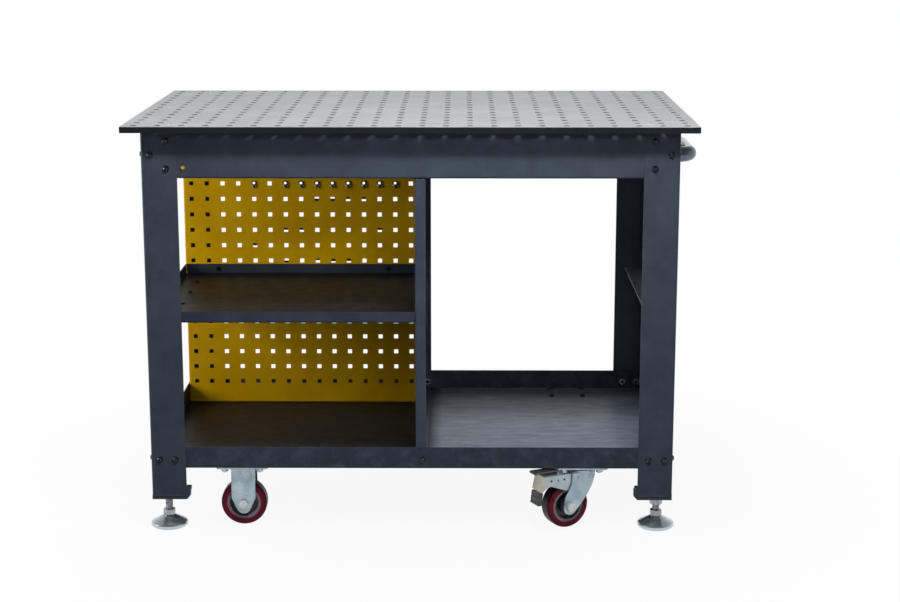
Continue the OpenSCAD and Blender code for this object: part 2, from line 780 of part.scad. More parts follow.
// Pair of cheeks, given as an outline, joined by a folded crown, in the fork's own frame
module fork_shell(back, front, top) {
    r = bend_r + fork_t;
    for (s = [-1, 1]) {
        translate([0, s > 0 ? cheek_out : -cheek_in, 0]) rotate([90, 0, 0]) linear_extrude(fork_t) children();
        translate([(back + front) / 2, s * (cheek_out - r), top - r]) rotate([90, 0, 90])
            linear_extrude(front - back, center = true) mirror([s < 0 ? 1 : 0, 0]) bend_2d(fork_t);
    }
    translate([back, r - cheek_out, top - fork_t]) cube([front - back, 2 * (cheek_out - r), fork_t]);
}

module rigid_bracket(sy) color("#aeb9c0") translate([-caster_x, sy * caster_y, 0]) {
    caster_plate();
    fork_shell(-26, 26, plate_z) straight_cheek_2d(-26, 26, plate_z - bend_r - fork_t);
}

// Axle with spacers beside the hub, a hexagon head and a nut, along Y in the wheel's frame
module axle(at) {
    translate([at, 0, axle_z]) rotate([90, 0, 0]) {
        cylinder(r = axle_r, h = 2 * cheek_out + 14, center = true);
        for (s = [-1, 1]) {
            translate([0, 0, s * (cheek_in - (fork_gap - 0.3) / 2)])
                cylinder(r = axle_r + 3, h = fork_gap - 0.3, center = true);
        }
        translate([0, 0, cheek_out]) cylinder(d = axle_flat / cos(30), h = axle_head_h, $fn = 6);
        translate([0, 0, -cheek_out - axle_nut_h]) cylinder(d = axle_flat / cos(30), h = axle_nut_h, $fn = 6);
    }
}

module rigid_axles() color("#c8ced2") for (sy = [-1, 1]) translate([-caster_x, sy * caster_y, 0]) axle(0);

// Top plate of a swivel caster with the race that the fork turns under
module swivel_plate(sy) color("#aeb9c0") translate([caster_x, sy * caster_y, 0]) {
    difference() {
        union() {
            caster_plate();
            translate([0, 0, plate_z - race_h]) rotate_extrude()
                polygon([[20, 0], [27, 0], [31, 3], [32, race_h + eps], [20, race_h + eps]]);
        }
        translate([0, 0, plate_z - eps]) cylinder(r = axle_r + run, h = plate_t + 2 * eps);
    }
}

// Kingpins: each fixed in a swivel plate, with its nut under the fork's crown
module kingpins() color("#c8ced2") for (sy = [-1, 1]) translate([caster_x, sy * caster_y, 0]) {
    nut_top = crown_z - 0.3;
    foot = nut_top - king_nut_h - 1;
    translate([0, 0, foot]) cylinder(r = axle_r, h = tray_z - seat - foot);
    translate([0, 0, plate_z - 3.5]) cylinder(r = 11, h = 3.5);
    translate([0, 0, nut_top - king_nut_h]) cylinder(d = king_flat / cos(30), h = king_nut_h, $fn = 6);
}

// The frame of a swivel fork, with +X along its trail
module in_fork(sy) {
    translate([caster_x, sy * caster_y, 0]) rotate(sy < 0 ? yaw_front : yaw_rear) children();
}

module fork(sy) color("#aeb9c0") in_fork(sy) difference() {
    union() {
        fork_shell(-22, 34, crown_top) swept_cheek_2d(-22, 34, crown_top - bend_r - fork_t);
        translate([0, 0, crown_z]) cylinder(r = 29, h = fork_t);
    }
    translate([0, 0, crown_z - eps]) cylinder(r = axle_r + run, h = fork_t + 2 * eps);
    translate([pivot[0], 0, pivot[1]]) rotate([90, 0, 0])
        cylinder(r = pin_r + run, h = 2 * cheek_out + 2 * eps, center = true);
}

module fork_axle(sy) color("#c8ced2") in_fork(sy) axle(trail);

// The frame of a wheel, with its axle along Y
module in_wheel(sx, sy) {
    if (sx < 0) translate([-caster_x, sy * caster_y, axle_z]) children();
    if (sx > 0) in_fork(sy) translate([trail, 0, axle_z]) children();
}

module tread(sx, sy) color("#6a1a2e") in_wheel(sx, sy) rotate([90, 0, 0]) rotate_extrude($fn = 96) {
    edge = 5;
    translate([core_r, -tread_w / 2]) square([tread_t - edge, tread_w]);
    translate([core_r, edge - tread_w / 2]) square([tread_t, tread_w - 2 * edge]);
    for (s = [-1, 1]) translate([wheel_r - edge, s * (tread_w / 2 - edge)]) circle(edge);
}

module core(sx, sy) color("#8d8f92") in_wheel(sx, sy) rotate([90, 0, 0]) difference() {
    rotate_extrude() {
        translate([core_r - 6, -tread_w / 2 + 1]) square([6, tread_w - 2]);
        translate([hub_r - 3, -4]) square([core_r - hub_r, 8]);
        translate([9, -hub_w / 2]) square([hub_r - 9, hub_w]);
    }
    for (s = [-1, 1]) translate([0, 0, s * (hub_w / 2 - bearing_w / 2 + eps / 2)])
        cylinder(r = bearing_r, h = bearing_w + eps, center = true);
}

// Two ball bearings, each with a groove between its rings
module bearings(sx, sy) color("#c8ced2") in_wheel(sx, sy) rotate([90, 0, 0]) for (s = [-1, 1])
    rotate([s > 0 ? 0 : 180, 0, 0]) translate([0, 0, hub_w / 2 - bearing_w]) rotate_extrude() {
        translate([axle_r + run, 0]) square([2.5, bearing_w]);
        translate([axle_r + 2, 0.7]) square([bearing_r - axle_r - 4, bearing_w - 1.4]);
        translate([bearing_r - 2.5, 0]) square([2.5, bearing_w]);
    }

// Outline of the brake arm's side webs, along the trail and up
module arm_2d() {
    difference() {
        union() {
            translate(pivot) circle(9);
            polygon([[pivot[0], arm_top], [arm_end, arm_top], [arm_end + 4, arm_top - 33], [arm_end - 9, arm_top - 24],
                [arm_end - 17, arm_top - 23], [trail + 8, arm_top - 37], [trail - 6, arm_top - 38],
                [pivot[0], pivot[1] - 9]]);
        }
        for (u = [trail + 12, trail + 28, trail + 44]) translate([u, arm_top - 11]) circle(2.5);
    }
}

// Shoe under the arm, hollowed so that it lies along the tread when the brake is down
module shoe_2d() {
    difference() {
        translate([trail + 6, axle_z + wheel_r * 0.8])
            square([16, arm_top - arm_t / 2 - axle_z - wheel_r * 0.8]);
        translate(pivot) rotate(brake_throw) translate([trail, axle_z] - pivot) circle(wheel_r + 0.4);
    }
}

// Brake arm: a channel over the wheel on a pin through the fork, ending in a sloped plate and a tongue
module brake_arm(sy) color("#b9c2c8") in_fork(sy) {
    half = brake_w / 2;
    for (s = [-1, 1])
        translate([0, s > 0 ? half : arm_t - half, 0]) rotate([90, 0, 0]) linear_extrude(arm_t) arm_2d();
    translate([pivot[0] - 2, -half, arm_top - arm_t]) cube([arm_end - pivot[0] + 2, brake_w, arm_t]);
    translate([pivot[0], 0, pivot[1]]) rotate([90, 0, 0])
        cylinder(r = pin_r, h = 2 * cheek_out + 3, center = true);
    rotate([90, 0, 0]) {
        linear_extrude(pedal_w, center = true) pedal_2d();
        linear_extrude(lever_w, center = true) lever_2d();
        linear_extrude(pad_w - 8, center = true) tongue_2d(arm_t);
        linear_extrude(shoe_w, center = true) shoe_2d();
    }
}

// Sloped end plate of the brake arm
module pedal_2d() {
    polygon([[arm_end - eps, arm_top], [arm_end + 1, arm_top], pedal_foot + [arm_t / 2, 0],
        pedal_foot - [arm_t / 2, 0], [arm_end - eps, arm_top - 4]]);
}

// Upper lever of the brake: it rises from the arm outside the plate's nuts and ends in a rolled edge
module lever_2d() {
    translate([lever_in, arm_top - eps]) square([arm_t, lever_top - arm_top + eps]);
    translate([lever_in, lever_top - arm_t]) square([lever_out - lever_in, arm_t]);
    translate([lever_out, lever_top - lever_roll]) circle(lever_roll);
}

// Tongue that carries the brake pad, below the end plate
module tongue_2d(t) {
    half = [t / 2, 0];
    up = [0, 1];
    polygon([pedal_foot - half + up, pedal_foot + half + up, pedal_tip + half, pedal_tip - half]);
}

// Brake pad: a ribbed block on the arm's tongue
module brake_pad(sy) color("#3b3f46") in_fork(sy) {
    dir = (pedal_tip - pedal_foot) / norm(pedal_tip - pedal_foot);
    out = [-dir[1], dir[0]];
    a = pedal_foot + 2 * dir;
    b = pedal_tip + 3 * dir;
    difference() {
        rotate([90, 0, 0]) linear_extrude(pad_w, center = true)
            polygon([a - 5 * out, a + 4.5 * out, b + 4.5 * out, b - 5 * out]);
        rotate([90, 0, 0]) linear_extrude(pad_w - 8 + 2 * seat, center = true) tongue_2d(arm_t + 2 * seat);
        for (k = [1 : 4]) {
            g = a + (b - a) * k / 5 + 4.5 * out;
            rotate([90, 0, 0]) linear_extrude(pad_w + 2 * eps, center = true)
                polygon([g - dir, g + dir, g - 1.2 * out]);
        }
    }
}

// Dish of a levelling foot
module foot_pad(sx, sy) color("#cfd3d6") translate([sx * foot_x, sy * foot_y, 0]) rotate_extrude($fn = 96) {
    r = foot_d / 2;
    neck = spindle_d / 2 + 4;
    difference() {
        union() {
            polygon([[0, 0], [r - 4, 0], [r, 4], [r, 8], [r - 1.5, 11],
                [neck + 13, foot_h - 6.5], [neck + 4, foot_h - 2], [neck, foot_h], [0, foot_h]]);
            translate([r - 3, 7]) circle(3);
        }
        translate([0, foot_h - 7]) square([spindle_d / 2 + seat, 8]);
    }
}

// Threaded spindle with its own hexagon, standing in the foot's socket
module spindle(sx, sy) color("#b4b8bb") translate([sx * foot_x, sy * foot_y, foot_h - 7]) {
    cylinder(d = spindle_d, h = spindle_len);
    translate([0, 0, 8]) cylinder(d = foot_hex / cos(30), h = foot_hex_h, $fn = 6);
}

// Lock nuts on the spindles: under the base plates on the right, above them on the left
module foot_lock_nuts() color("#b4b8bb") for (sx = [-1, 1], sy = [-1, 1])
    translate([sx * foot_x, sy * foot_y, sx > 0 ? leg_clear - collar_h : leg_clear + base_t + lock_t])
        hex_nut(foot_hex, lock_t, spindle_d);

// Moves the table sideways, so that the origin lies under the middle of its whole length
module centred() {
    translate([table_x, 0, 0]) children();
}

centred() top_plate();
centred() plate_screws();
centred() long_apron(-1);  // apron_front
centred() long_apron(1);  // apron_rear
centred() short_apron(-1);  // apron_left
centred() short_apron(1);  // apron_right
centred() leg(-1, -1);  // leg_front_left
centred() leg(1, -1);  // leg_front_right
centred() leg(-1, 1);  // leg_rear_left
centred() leg(1, 1);  // leg_rear_right
centred() base_plates();
centred() bottom_tray();
centred() mid_shelf();
centred() divider();
centred() pegboard();
centred() side_rail(-1);  // side_rail_left
centred() side_rail(1);  // side_rail_right
centred() handle_tube();
centred() handle_plugs();
centred() frame_bolts();
centred() frame_nuts();
centred() light_bolts();
centred() light_nuts();
centred() caster_bolts();
centred() caster_nuts();
centred() foot_lock_nuts();
centred() rigid_bracket(-1);  // rigid_bracket_front
centred() rigid_bracket(1);  // rigid_bracket_rear
centred() rigid_axles();
centred() swivel_plate(-1);  // swivel_plate_front
centred() swivel_plate(1);  // swivel_plate_rear
centred() kingpins();
centred() foot_pad(-1, -1);  // foot_pad_front_left
centred() foot_pad(1, -1);  // foot_pad_front_right
centred() foot_pad(-1, 1);  // foot_pad_rear_left
centred() foot_pad(1, 1);  // foot_pad_rear_right
centred() spindle(-1, -1);  // spindle_front_left
centred() spindle(1, -1);  // spindle_front_right
centred() spindle(-1, 1);  // spindle_rear_left
centred() spindle(1, 1);  // spindle_rear_right
centred() tread(-1, -1);  // tread_front_left
centred() tread(-1, 1);  // tread_rear_left
centred() tread(1, -1);  // tread_front_right
centred() tread(1, 1);  // tread_rear_right
centred() core(-1, -1);  // core_front_left
centred() core(-1, 1);  // core_rear_left
centred() core(1, -1);  // core_front_right
centred() core(1, 1);  // core_rear_right
centred() bearings(-1, -1);  // bearings_front_left
centred() bearings(-1, 1);  // bearings_rear_left
centred() bearings(1, -1);  // bearings_front_right
centred() bearings(1, 1);  // bearings_rear_right
centred() fork(-1);  // fork_front
centred() fork(1);  // fork_rear
centred() fork_axle(-1);  // fork_axle_front
centred() fork_axle(1);  // fork_axle_rear
centred() brake_arm(-1);  // brake_arm_front
centred() brake_arm(1);  // brake_arm_rear
centred() brake_pad(-1);  // brake_pad_front
centred() brake_pad(1);  // brake_pad_rear
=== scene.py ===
"""Looks of the mobile welding table: finishes for its parts, and the small pieces that the solids leave out.

Metres, with the floor at z = 0, the table's length along x and its front facing -y.
"""
import math

import bpy
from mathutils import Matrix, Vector


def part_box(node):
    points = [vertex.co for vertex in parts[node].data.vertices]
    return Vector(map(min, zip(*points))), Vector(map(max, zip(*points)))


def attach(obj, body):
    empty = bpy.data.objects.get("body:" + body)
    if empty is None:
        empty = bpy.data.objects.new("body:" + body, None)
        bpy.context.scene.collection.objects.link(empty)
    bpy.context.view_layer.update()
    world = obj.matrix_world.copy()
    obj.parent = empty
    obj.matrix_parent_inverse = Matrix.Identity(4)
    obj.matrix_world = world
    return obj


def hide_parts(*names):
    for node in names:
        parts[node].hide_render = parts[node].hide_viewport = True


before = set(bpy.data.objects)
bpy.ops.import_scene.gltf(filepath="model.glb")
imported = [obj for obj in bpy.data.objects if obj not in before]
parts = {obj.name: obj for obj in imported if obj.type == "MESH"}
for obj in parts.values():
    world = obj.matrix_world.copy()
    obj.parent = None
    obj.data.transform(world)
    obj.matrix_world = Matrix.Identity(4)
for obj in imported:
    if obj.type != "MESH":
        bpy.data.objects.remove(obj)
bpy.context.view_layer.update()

# Places and sizes in the table that its patterns and small pieces are set out from
PLATE_TOP = 0.885
FIRST_HOLE = (-0.590, -0.350)  # middle of the top's front left hole
HOLE_PITCH = 0.05
HOLE_R = 0.008
FEET = {  # middle of each levelling foot, seen from above
    "front_left": (-0.548, -0.308), "rear_left": (-0.548, 0.308),
    "front_right": (0.518, -0.308), "rear_right": (0.518, 0.308),
}
CASTERS = {  # a rigid caster's axle and a swivel caster's kingpin, seen from above
    "front_left": (-0.384, -0.29), "rear_left": (-0.384, 0.29),
    "front_right": (0.354, -0.29), "rear_right": (0.354, 0.29),
}
FORK_YAW = {"front_right": math.radians(206.6), "rear_right": math.radians(193.0)}
AXLE_Z = 0.051
TRAIL = 0.04  # from a kingpin to its axle
WHEEL_R = 0.05
RING_R = 0.0305  # where a wheel's black disc ends and its grey band begins
PEDAL_X = (0.0575, 0.060)  # where a brake arm's side turns into its sloped end plate, along the fork from the axle
LEVER_Z = 0.0785  # lowest height above the axle of the brake's upper lever
LEVER_EDGE_X = 0.116  # where that lever's rolled edge begins, along the fork from the axle
SHEET = 0.002  # thickness of the tray's and the shelf's sheet
PEG_FIRST = (-0.5543, 0.681)  # the pegboard's left hole in the first row that shows below the apron
PEG_PITCH = 0.0375
PEG_FRONT = 0.1987
PEG_BACK = 0.2002
SMOOTH_UNDER = math.radians(35)  # faces that meet at less than this shade as one
SAME_POINT = 1e-6


# Colours and nodes

def linear(code):
    """sRGB hex value to the linear colour that a shader takes."""
    parts_of = [int(code[i:i + 2], 16) / 255 for i in (1, 3, 5)]
    return [c / 12.92 if c <= 0.04045 else ((c + 0.055) / 1.055) ** 2.4 for c in parts_of] + [1.0]


def add(tree, kind, sockets=None, **settings):
    """Adds a node with its settings; each input takes a value, or an output that is linked to it."""
    made = tree.nodes.new("ShaderNode" + kind)
    for name, value in settings.items():
        setattr(made, name, value)
    for key, value in (sockets or {}).items():
        if isinstance(value, bpy.types.NodeSocket):
            tree.links.new(value, made.inputs[key])
        else:
            made.inputs[key].default_value = value
    return made


def start(name, sockets):
    """A new material: its node tree, its shader with plain values, and the piece's own coordinates."""
    made = bpy.data.materials.new(name)
    made.use_nodes = True
    tree = made.node_tree
    tree.nodes.clear()
    shader = add(tree, "BsdfPrincipled", sockets)
    add(tree, "OutputMaterial", {"Surface": shader.outputs[0]})
    return made, tree, shader, add(tree, "TexCoord").outputs["Object"]


def per_mm(size):
    """Noise scale that gives marks of this size in millimetres."""
    return 1000.0 / size


def wire(tree, shader, colour, dull, relief, strength, depth):
    """Links a finish's colour, its roughness, and its relief of this strength and depth in metres, to its shader."""
    tree.links.new(colour, shader.inputs["Base Color"])
    tree.links.new(dull, shader.inputs["Roughness"])
    bump = add(tree, "Bump", {"Height": relief, "Strength": strength, "Distance": depth})
    tree.links.new(bump.outputs[0], shader.inputs["Normal"])


# Finishes

def wheel_place(tree, place, middle, yaw):
    """The piece's coordinates moved to a wheel's middle, with x along its fork and y along its axle."""
    return add(tree, "Mapping", {"Vector": place, "Location": middle, "Rotation": (0, 0, yaw)},
               vector_type="TEXTURE").outputs[0]


def from_axle(tree, place):
    """Distance from the axle's line, for a wheel's own coordinates."""
    flat = add(tree, "VectorMath", {0: place, 1: (1.0, 0.0, 1.0)}, operation="MULTIPLY")
    return add(tree, "VectorMath", {0: flat.outputs[0]}, operation="LENGTH").outputs["Value"]


def powder_coat(name, colour, light, dark, rough=0.42, haze=0.22, floor_z=None, reflection_from=0.0):
    """Satin polyester powder coat over sheet steel, sprayed and baked. The eye gets a soft skin with a fine orange
    peel, cloudy changes of tone where hands and cloths have been, and pale dust specks that catch the light. A floor
    at floor_z is painted darker all over, as painted shade, and to the right of the given x it has brighter streaks
    like rub marks, which are painted reflection."""
    made, tree, shader, place = start(name, {"Roughness": rough, "IOR": 1.5, "Specular IOR Level": 0.12})
    cloud = add(tree, "TexNoise", {"Vector": place, "Scale": per_mm(110), "Detail": 5.0, "Roughness": 0.62})
    wiped = add(tree, "TexNoise", {"Vector": place, "Scale": per_mm(38), "Detail": 5.0, "Roughness": 0.7})
    tone = add(tree, "MapRange", {"Value": cloud.outputs[0], "From Min": 0.36, "From Max": 0.68})
    base = add(tree, "Mix", {0: tone.outputs[0], 6: linear(dark), 7: linear(colour)}, data_type="RGBA")
    film = add(tree, "MapRange", {"Value": wiped.outputs[0], "From Min": 0.45, "From Max": 0.85, "To Max": haze})
    coat = add(tree, "Mix", {0: film.outputs[0], 6: base.outputs[2], 7: linear(light)}, data_type="RGBA")
    dust = add(tree, "TexNoise", {"Vector": place, "Scale": per_mm(3.0), "Detail": 1.0})
    speck = add(tree, "MapRange", {"Value": dust.outputs[0], "From Min": 0.72, "From Max": 0.78, "To Max": 0.5})
    coat = add(tree, "Mix", {0: speck.outputs[0], 6: coat.outputs[2], 7: linear(light)}, data_type="RGBA")
    dull = add(tree, "MapRange", {"Value": wiped.outputs[0], "From Min": 0.3, "From Max": 0.75,
                                  "To Min": rough - 0.06, "To Max": rough + 0.1})
    # Orange peel: ripples of about 2 mm on the real skin, drawn at 3 mm so that they show
    peel = add(tree, "TexNoise", {"Vector": place, "Scale": per_mm(3.0), "Detail": 2.0})
    if floor_z is not None:
        axes = add(tree, "SeparateXYZ", {"Vector": place})
        off = add(tree, "Math", {0: axes.outputs["Z"], 1: floor_z}, operation="SUBTRACT")
        near = add(tree, "Math", {0: off.outputs[0]}, operation="ABSOLUTE")
        level = add(tree, "MapRange", {"Value": near.outputs[0], "From Min": SHEET * 0.4, "From Max": SHEET * 0.2})
        bay = add(tree, "MapRange", {"Value": axes.outputs["X"], "From Min": reflection_from,
                                     "From Max": reflection_from + 0.03})
        on_floor = add(tree, "Math", {0: level.outputs[0], 1: bay.outputs[0]}, operation="MULTIPLY")
        # The whole floor is painted darker, as painted shade
        painted_floor_shade = add(tree, "Mix", {0: film.outputs[0], 6: linear("#1b1e24"), 7: linear("#343942")}, data_type="RGBA")
        coat = add(tree, "Mix", {0: level.outputs[0], 6: coat.outputs[2], 7: painted_floor_shade.outputs[2]}, data_type="RGBA")
        # Painted reflection on the floor past the given x: brighter streaks like rub marks, 1 to 2 mm wide,
        # run together into soft patches some 60 mm long
        along = add(tree, "Mapping", {"Vector": place, "Scale": (0.3, 1.0, 1.0)})
        rub = add(tree, "TexNoise", {"Vector": along.outputs[0], "Scale": per_mm(20), "Detail": 6.0, "Roughness": 0.68})
        reflection_streaks = add(tree, "MapRange", {"Value": rub.outputs[0], "From Min": 0.32, "From Max": 0.70, "To Min": 0.38,
                                      "To Max": 0.80})
        rubbed = add(tree, "Math", {0: reflection_streaks.outputs[0], 1: on_floor.outputs[0]}, operation="MULTIPLY")
        coat = add(tree, "Mix", {0: rubbed.outputs[0], 6: coat.outputs[2], 7: linear(light)}, data_type="RGBA")
        slick = add(tree, "MapRange", {"Value": reflection_streaks.outputs[0], "To Min": rough + 0.04, "To Max": rough - 0.08})
        dull = add(tree, "Mix", {0: on_floor.outputs[0], 2: dull.outputs[0], 3: slick.outputs[0]}, data_type="FLOAT")
    wire(tree, shader, coat.outputs[2], dull.outputs[0], peel.outputs[0], 0.14, 0.0006)
    return made


def ground_plate():
    """Hot rolled steel plate, ground on its top face and painted on its edges. The eye gets a pale, cloudy grey face
    with fine grinding lines along its length, a bright rim round each hole, partly worn and partly a painted highlight
    on the hole's edge, and dark satin sides."""
    made, tree, shader, place = start("ground_steel_plate", {
        "Metallic": 0.6, "Roughness": 0.4, "Specular IOR Level": 0.2})
    axes = add(tree, "SeparateXYZ", {"Vector": place})
    cloud = add(tree, "TexNoise", {"Vector": place, "Scale": per_mm(150), "Detail": 6.0, "Roughness": 0.65})
    tone = add(tree, "MapRange", {"Value": cloud.outputs[0], "From Min": 0.35, "From Max": 0.66})
    steel = add(tree, "Mix", {0: tone.outputs[0], 6: linear("#9fa0a2"), 7: linear("#c2c3c5")}, data_type="RGBA")
    # Grinding lines: about 0.3 mm apart on the real plate, drawn at 1.6 mm so that they show
    drawn = add(tree, "Mapping", {"Vector": place, "Scale": (0.012, 1.0, 1.0)})
    lines = add(tree, "TexNoise", {"Vector": drawn.outputs[0], "Scale": per_mm(1.6), "Detail": 3.0, "Roughness": 0.6})
    streak = add(tree, "MapRange", {"Value": lines.outputs[0], "From Min": 0.35, "From Max": 0.7, "To Max": 0.35})
    lined = add(tree, "Mix", {0: streak.outputs[0], 6: steel.outputs[2], 7: linear("#d3d4d6")}, data_type="RGBA")
    # Burn marks and spatter freckles from welding, 4 to 9 mm across
    spots = add(tree, "TexNoise", {"Vector": place, "Scale": per_mm(16), "Detail": 2.0, "Roughness": 0.4})
    burn = add(tree, "MapRange", {"Value": spots.outputs[0], "From Min": 0.70, "From Max": 0.76, "To Max": 0.5})
    marked = add(tree, "Mix", {0: burn.outputs[0], 6: lined.outputs[2], 7: linear("#8b8073")}, data_type="RGBA")
    # Distance from the nearest hole's middle, for the bright rim of each hole, partly wear and partly a painted
    # highlight on its edge
    across = []
    for axis, first in zip("XY", FIRST_HOLE):
        moved = add(tree, "Math", {0: axes.outputs[axis], 1: HOLE_PITCH / 2 - first}, operation="ADD")
        cell = add(tree, "Math", {0: moved.outputs[0], 1: HOLE_PITCH}, operation="FLOORED_MODULO")
        off = add(tree, "Math", {0: cell.outputs[0], 1: HOLE_PITCH / 2}, operation="SUBTRACT")
        across.append(add(tree, "Math", {0: off.outputs[0], 1: 2.0}, operation="POWER").outputs[0])
    square = add(tree, "Math", {0: across[0], 1: across[1]}, operation="ADD")
    away = add(tree, "Math", {0: square.outputs[0], 1: 0.5}, operation="POWER")
    rim = add(tree, "MapRange", {"Value": away.outputs[0], "From Min": HOLE_R + 0.0022, "From Max": HOLE_R + 0.0012})
    worn = add(tree, "Mix", {0: rim.outputs[0], 6: marked.outputs[2], 7: linear("#d2d3d5")}, data_type="RGBA")
    bore = add(tree, "MapRange", {"Value": away.outputs[0], "From Min": HOLE_R + 0.0003, "From Max": HOLE_R + 0.0001})
    face = add(tree, "MapRange", {"Value": axes.outputs["Z"], "From Min": PLATE_TOP - 0.0007,
                                  "From Max": PLATE_TOP - 0.0002})
    paint_tone = add(tree, "Mix", {0: tone.outputs[0], 6: linear("#0f1318"), 7: linear("#171c23")}, data_type="RGBA")
    side = add(tree, "Mix", {0: bore.outputs[0], 6: paint_tone.outputs[2], 7: linear("#171a1f")}, data_type="RGBA")
    both = add(tree, "Mix", {0: face.outputs[0], 6: side.outputs[2], 7: worn.outputs[2]}, data_type="RGBA")
    bare = add(tree, "Math", {0: face.outputs[0], 1: 0.6}, operation="MULTIPLY")
    tree.links.new(bare.outputs[0], shader.inputs["Metallic"])
    dull = add(tree, "MapRange", {"Value": cloud.outputs[0], "From Min": 0.3, "From Max": 0.7,
                                  "To Min": 0.36, "To Max": 0.52})
    wire(tree, shader, both.outputs[2], dull.outputs[0], lines.outputs[0], 0.12, 0.0003)
    return made


def plated(name, colour, tint, rough, grain, spangle, metal=0.7):
    """Zinc over pressed or turned steel, dipped and passivated, or another thin bright skin over steel. The eye gets a
    metal that goes from one tone to the other in clouds, and the fine pits and rolling marks of the steel below.
    Grain and spangle are the sizes in millimetres of those marks and clouds."""
    made, tree, shader, place = start(name, {"Metallic": metal, "Roughness": rough})
    cloud = add(tree, "TexNoise", {"Vector": place, "Scale": per_mm(spangle), "Detail": 3.0, "Roughness": 0.5})
    tone = add(tree, "MapRange", {"Value": cloud.outputs[0], "From Min": 0.3, "From Max": 0.7})
    base = add(tree, "Mix", {0: tone.outputs[0], 6: linear(colour), 7: linear(tint)}, data_type="RGBA")
    fine = add(tree, "TexNoise", {"Vector": place, "Scale": per_mm(grain), "Detail": 3.0, "Roughness": 0.6})
    dull = add(tree, "MapRange", {"Value": fine.outputs[0], "From Min": 0.3, "From Max": 0.7,
                                  "To Min": rough * 0.75, "To Max": rough * 1.3})
    wire(tree, shader, base.outputs[2], dull.outputs[0], fine.outputs[0], 0.2, 0.0002)
    return made


def chromed():
    """Decorative chrome over polished steel tube. The eye gets mirror reflections, cooled by the chrome, with faint
    polishing waves and a few dull fingerprints. Its colour is a dark grey, far darker than chrome, as a painted dark
    reflection of its surroundings."""
    made, tree, shader, place = start("decorative_chrome", {"Metallic": 0.95, "Roughness": 0.05})
    hand = add(tree, "TexNoise", {"Vector": place, "Scale": per_mm(28), "Detail": 3.0})
    dull = add(tree, "MapRange", {"Value": hand.outputs[0], "From Min": 0.5, "From Max": 0.75,
                                  "To Min": 0.03, "To Max": 0.14})
    # The dark grey body colour is a painted dark reflection of the surroundings
    tone = add(tree, "Mix", {0: hand.outputs[0], 6: linear("#454c54"), 7: linear("#737a82")}, data_type="RGBA")
    wave = add(tree, "TexNoise", {"Vector": place, "Scale": per_mm(12), "Detail": 1.0})
    wire(tree, shader, tone.outputs[2], dull.outputs[0], wave.outputs[0], 0.05, 0.0004)
    return made


def turned_dish():
    """Levelling foot's dish, pressed from steel, turned and chromed. The eye gets a satin cone with fine rings from
    the lathe, brighter and darker by turns, and a rolled bright rim."""
    made, tree, shader, place = start("turned_chromed_dish", {"Metallic": 0.88, "Roughness": 0.24})
    height = add(tree, "SeparateXYZ", {"Vector": place}).outputs["Z"]
    # Lathe rings of 0.2 mm on the real dish, drawn at 0.9 mm so that they show
    rings = add(tree, "TexNoise", {"W": height, "Scale": per_mm(0.9), "Detail": 2.0, "Roughness": 0.6},
                noise_dimensions="1D")
    tone = add(tree, "MapRange", {"Value": rings.outputs[0], "From Min": 0.3, "From Max": 0.7})
    base = add(tree, "Mix", {0: tone.outputs[0], 6: linear("#9aa7b2"), 7: linear("#e2e9ee")}, data_type="RGBA")
    hand = add(tree, "TexNoise", {"Vector": place, "Scale": per_mm(30), "Detail": 3.0})
    dull = add(tree, "MapRange", {"Value": hand.outputs[0], "From Min": 0.3, "From Max": 0.7,
                                  "To Min": 0.18, "To Max": 0.30})
    wire(tree, shader, base.outputs[2], dull.outputs[0], rings.outputs[0], 0.12, 0.0003)
    return made


def blackened(name, colour, worn):
    """Black oxide on rolled alloy steel bolts. The eye gets a deep blue-black metal with an oily sheen, worn to grey
    where the key and the washer rub."""
    made, tree, shader, place = start(name, {"Metallic": 0.9, "Roughness": 0.24})
    wear = add(tree, "TexNoise", {"Vector": place, "Scale": per_mm(4.5), "Detail": 3.0, "Roughness": 0.65})
    rubbed = add(tree, "MapRange", {"Value": wear.outputs[0], "From Min": 0.55, "From Max": 0.7, "To Max": 0.7})
    tone = add(tree, "Mix", {0: rubbed.outputs[0], 6: linear(colour), 7: linear(worn)}, data_type="RGBA")
    dull = add(tree, "MapRange", {"Value": wear.outputs[0], "From Min": 0.3, "From Max": 0.7,
                                  "To Min": 0.17, "To Max": 0.33})
    wire(tree, shader, tone.outputs[2], dull.outputs[0], wear.outputs[0], 0.1, 0.0002)
    return made


def cast_tread(name, middle, yaw):
    """Polyurethane tyre cast round the wheel. The eye gets a wine red, slightly glassy rubber on its sides, and a
    darker rolling face, rubbed with the dirt of the shop floor."""
    made, tree, shader, place = start(name, {"Roughness": 0.36, "IOR": 1.5, "Specular IOR Level": 0.15})
    cloud = add(tree, "TexNoise", {"Vector": place, "Scale": per_mm(22), "Detail": 4.0, "Roughness": 0.6})
    tone = add(tree, "MapRange", {"Value": cloud.outputs[0], "From Min": 0.35, "From Max": 0.68})
    base = add(tree, "Mix", {0: tone.outputs[0], 6: linear("#5c0824"), 7: linear("#801238")}, data_type="RGBA")
    away = from_axle(tree, wheel_place(tree, place, middle, yaw))
    rolled = add(tree, "MapRange", {"Value": away, "From Min": WHEEL_R - 0.0045, "From Max": WHEEL_R - 0.001})
    grit = add(tree, "TexNoise", {"Vector": place, "Scale": per_mm(3.5), "Detail": 3.0, "Roughness": 0.7})
    dirt = add(tree, "Mix", {0: grit.outputs[0], 6: linear("#18060b"), 7: linear("#2d0c15")}, data_type="RGBA")
    both = add(tree, "Mix", {0: rolled.outputs[0], 6: base.outputs[2], 7: dirt.outputs[2]}, data_type="RGBA")
    dull = add(tree, "MapRange", {"Value": grit.outputs[0], "From Min": 0.3, "From Max": 0.75,
                                  "To Min": 0.28, "To Max": 0.5})
    wire(tree, shader, both.outputs[2], dull.outputs[0], grit.outputs[0], 0.15, 0.0003)
    return made


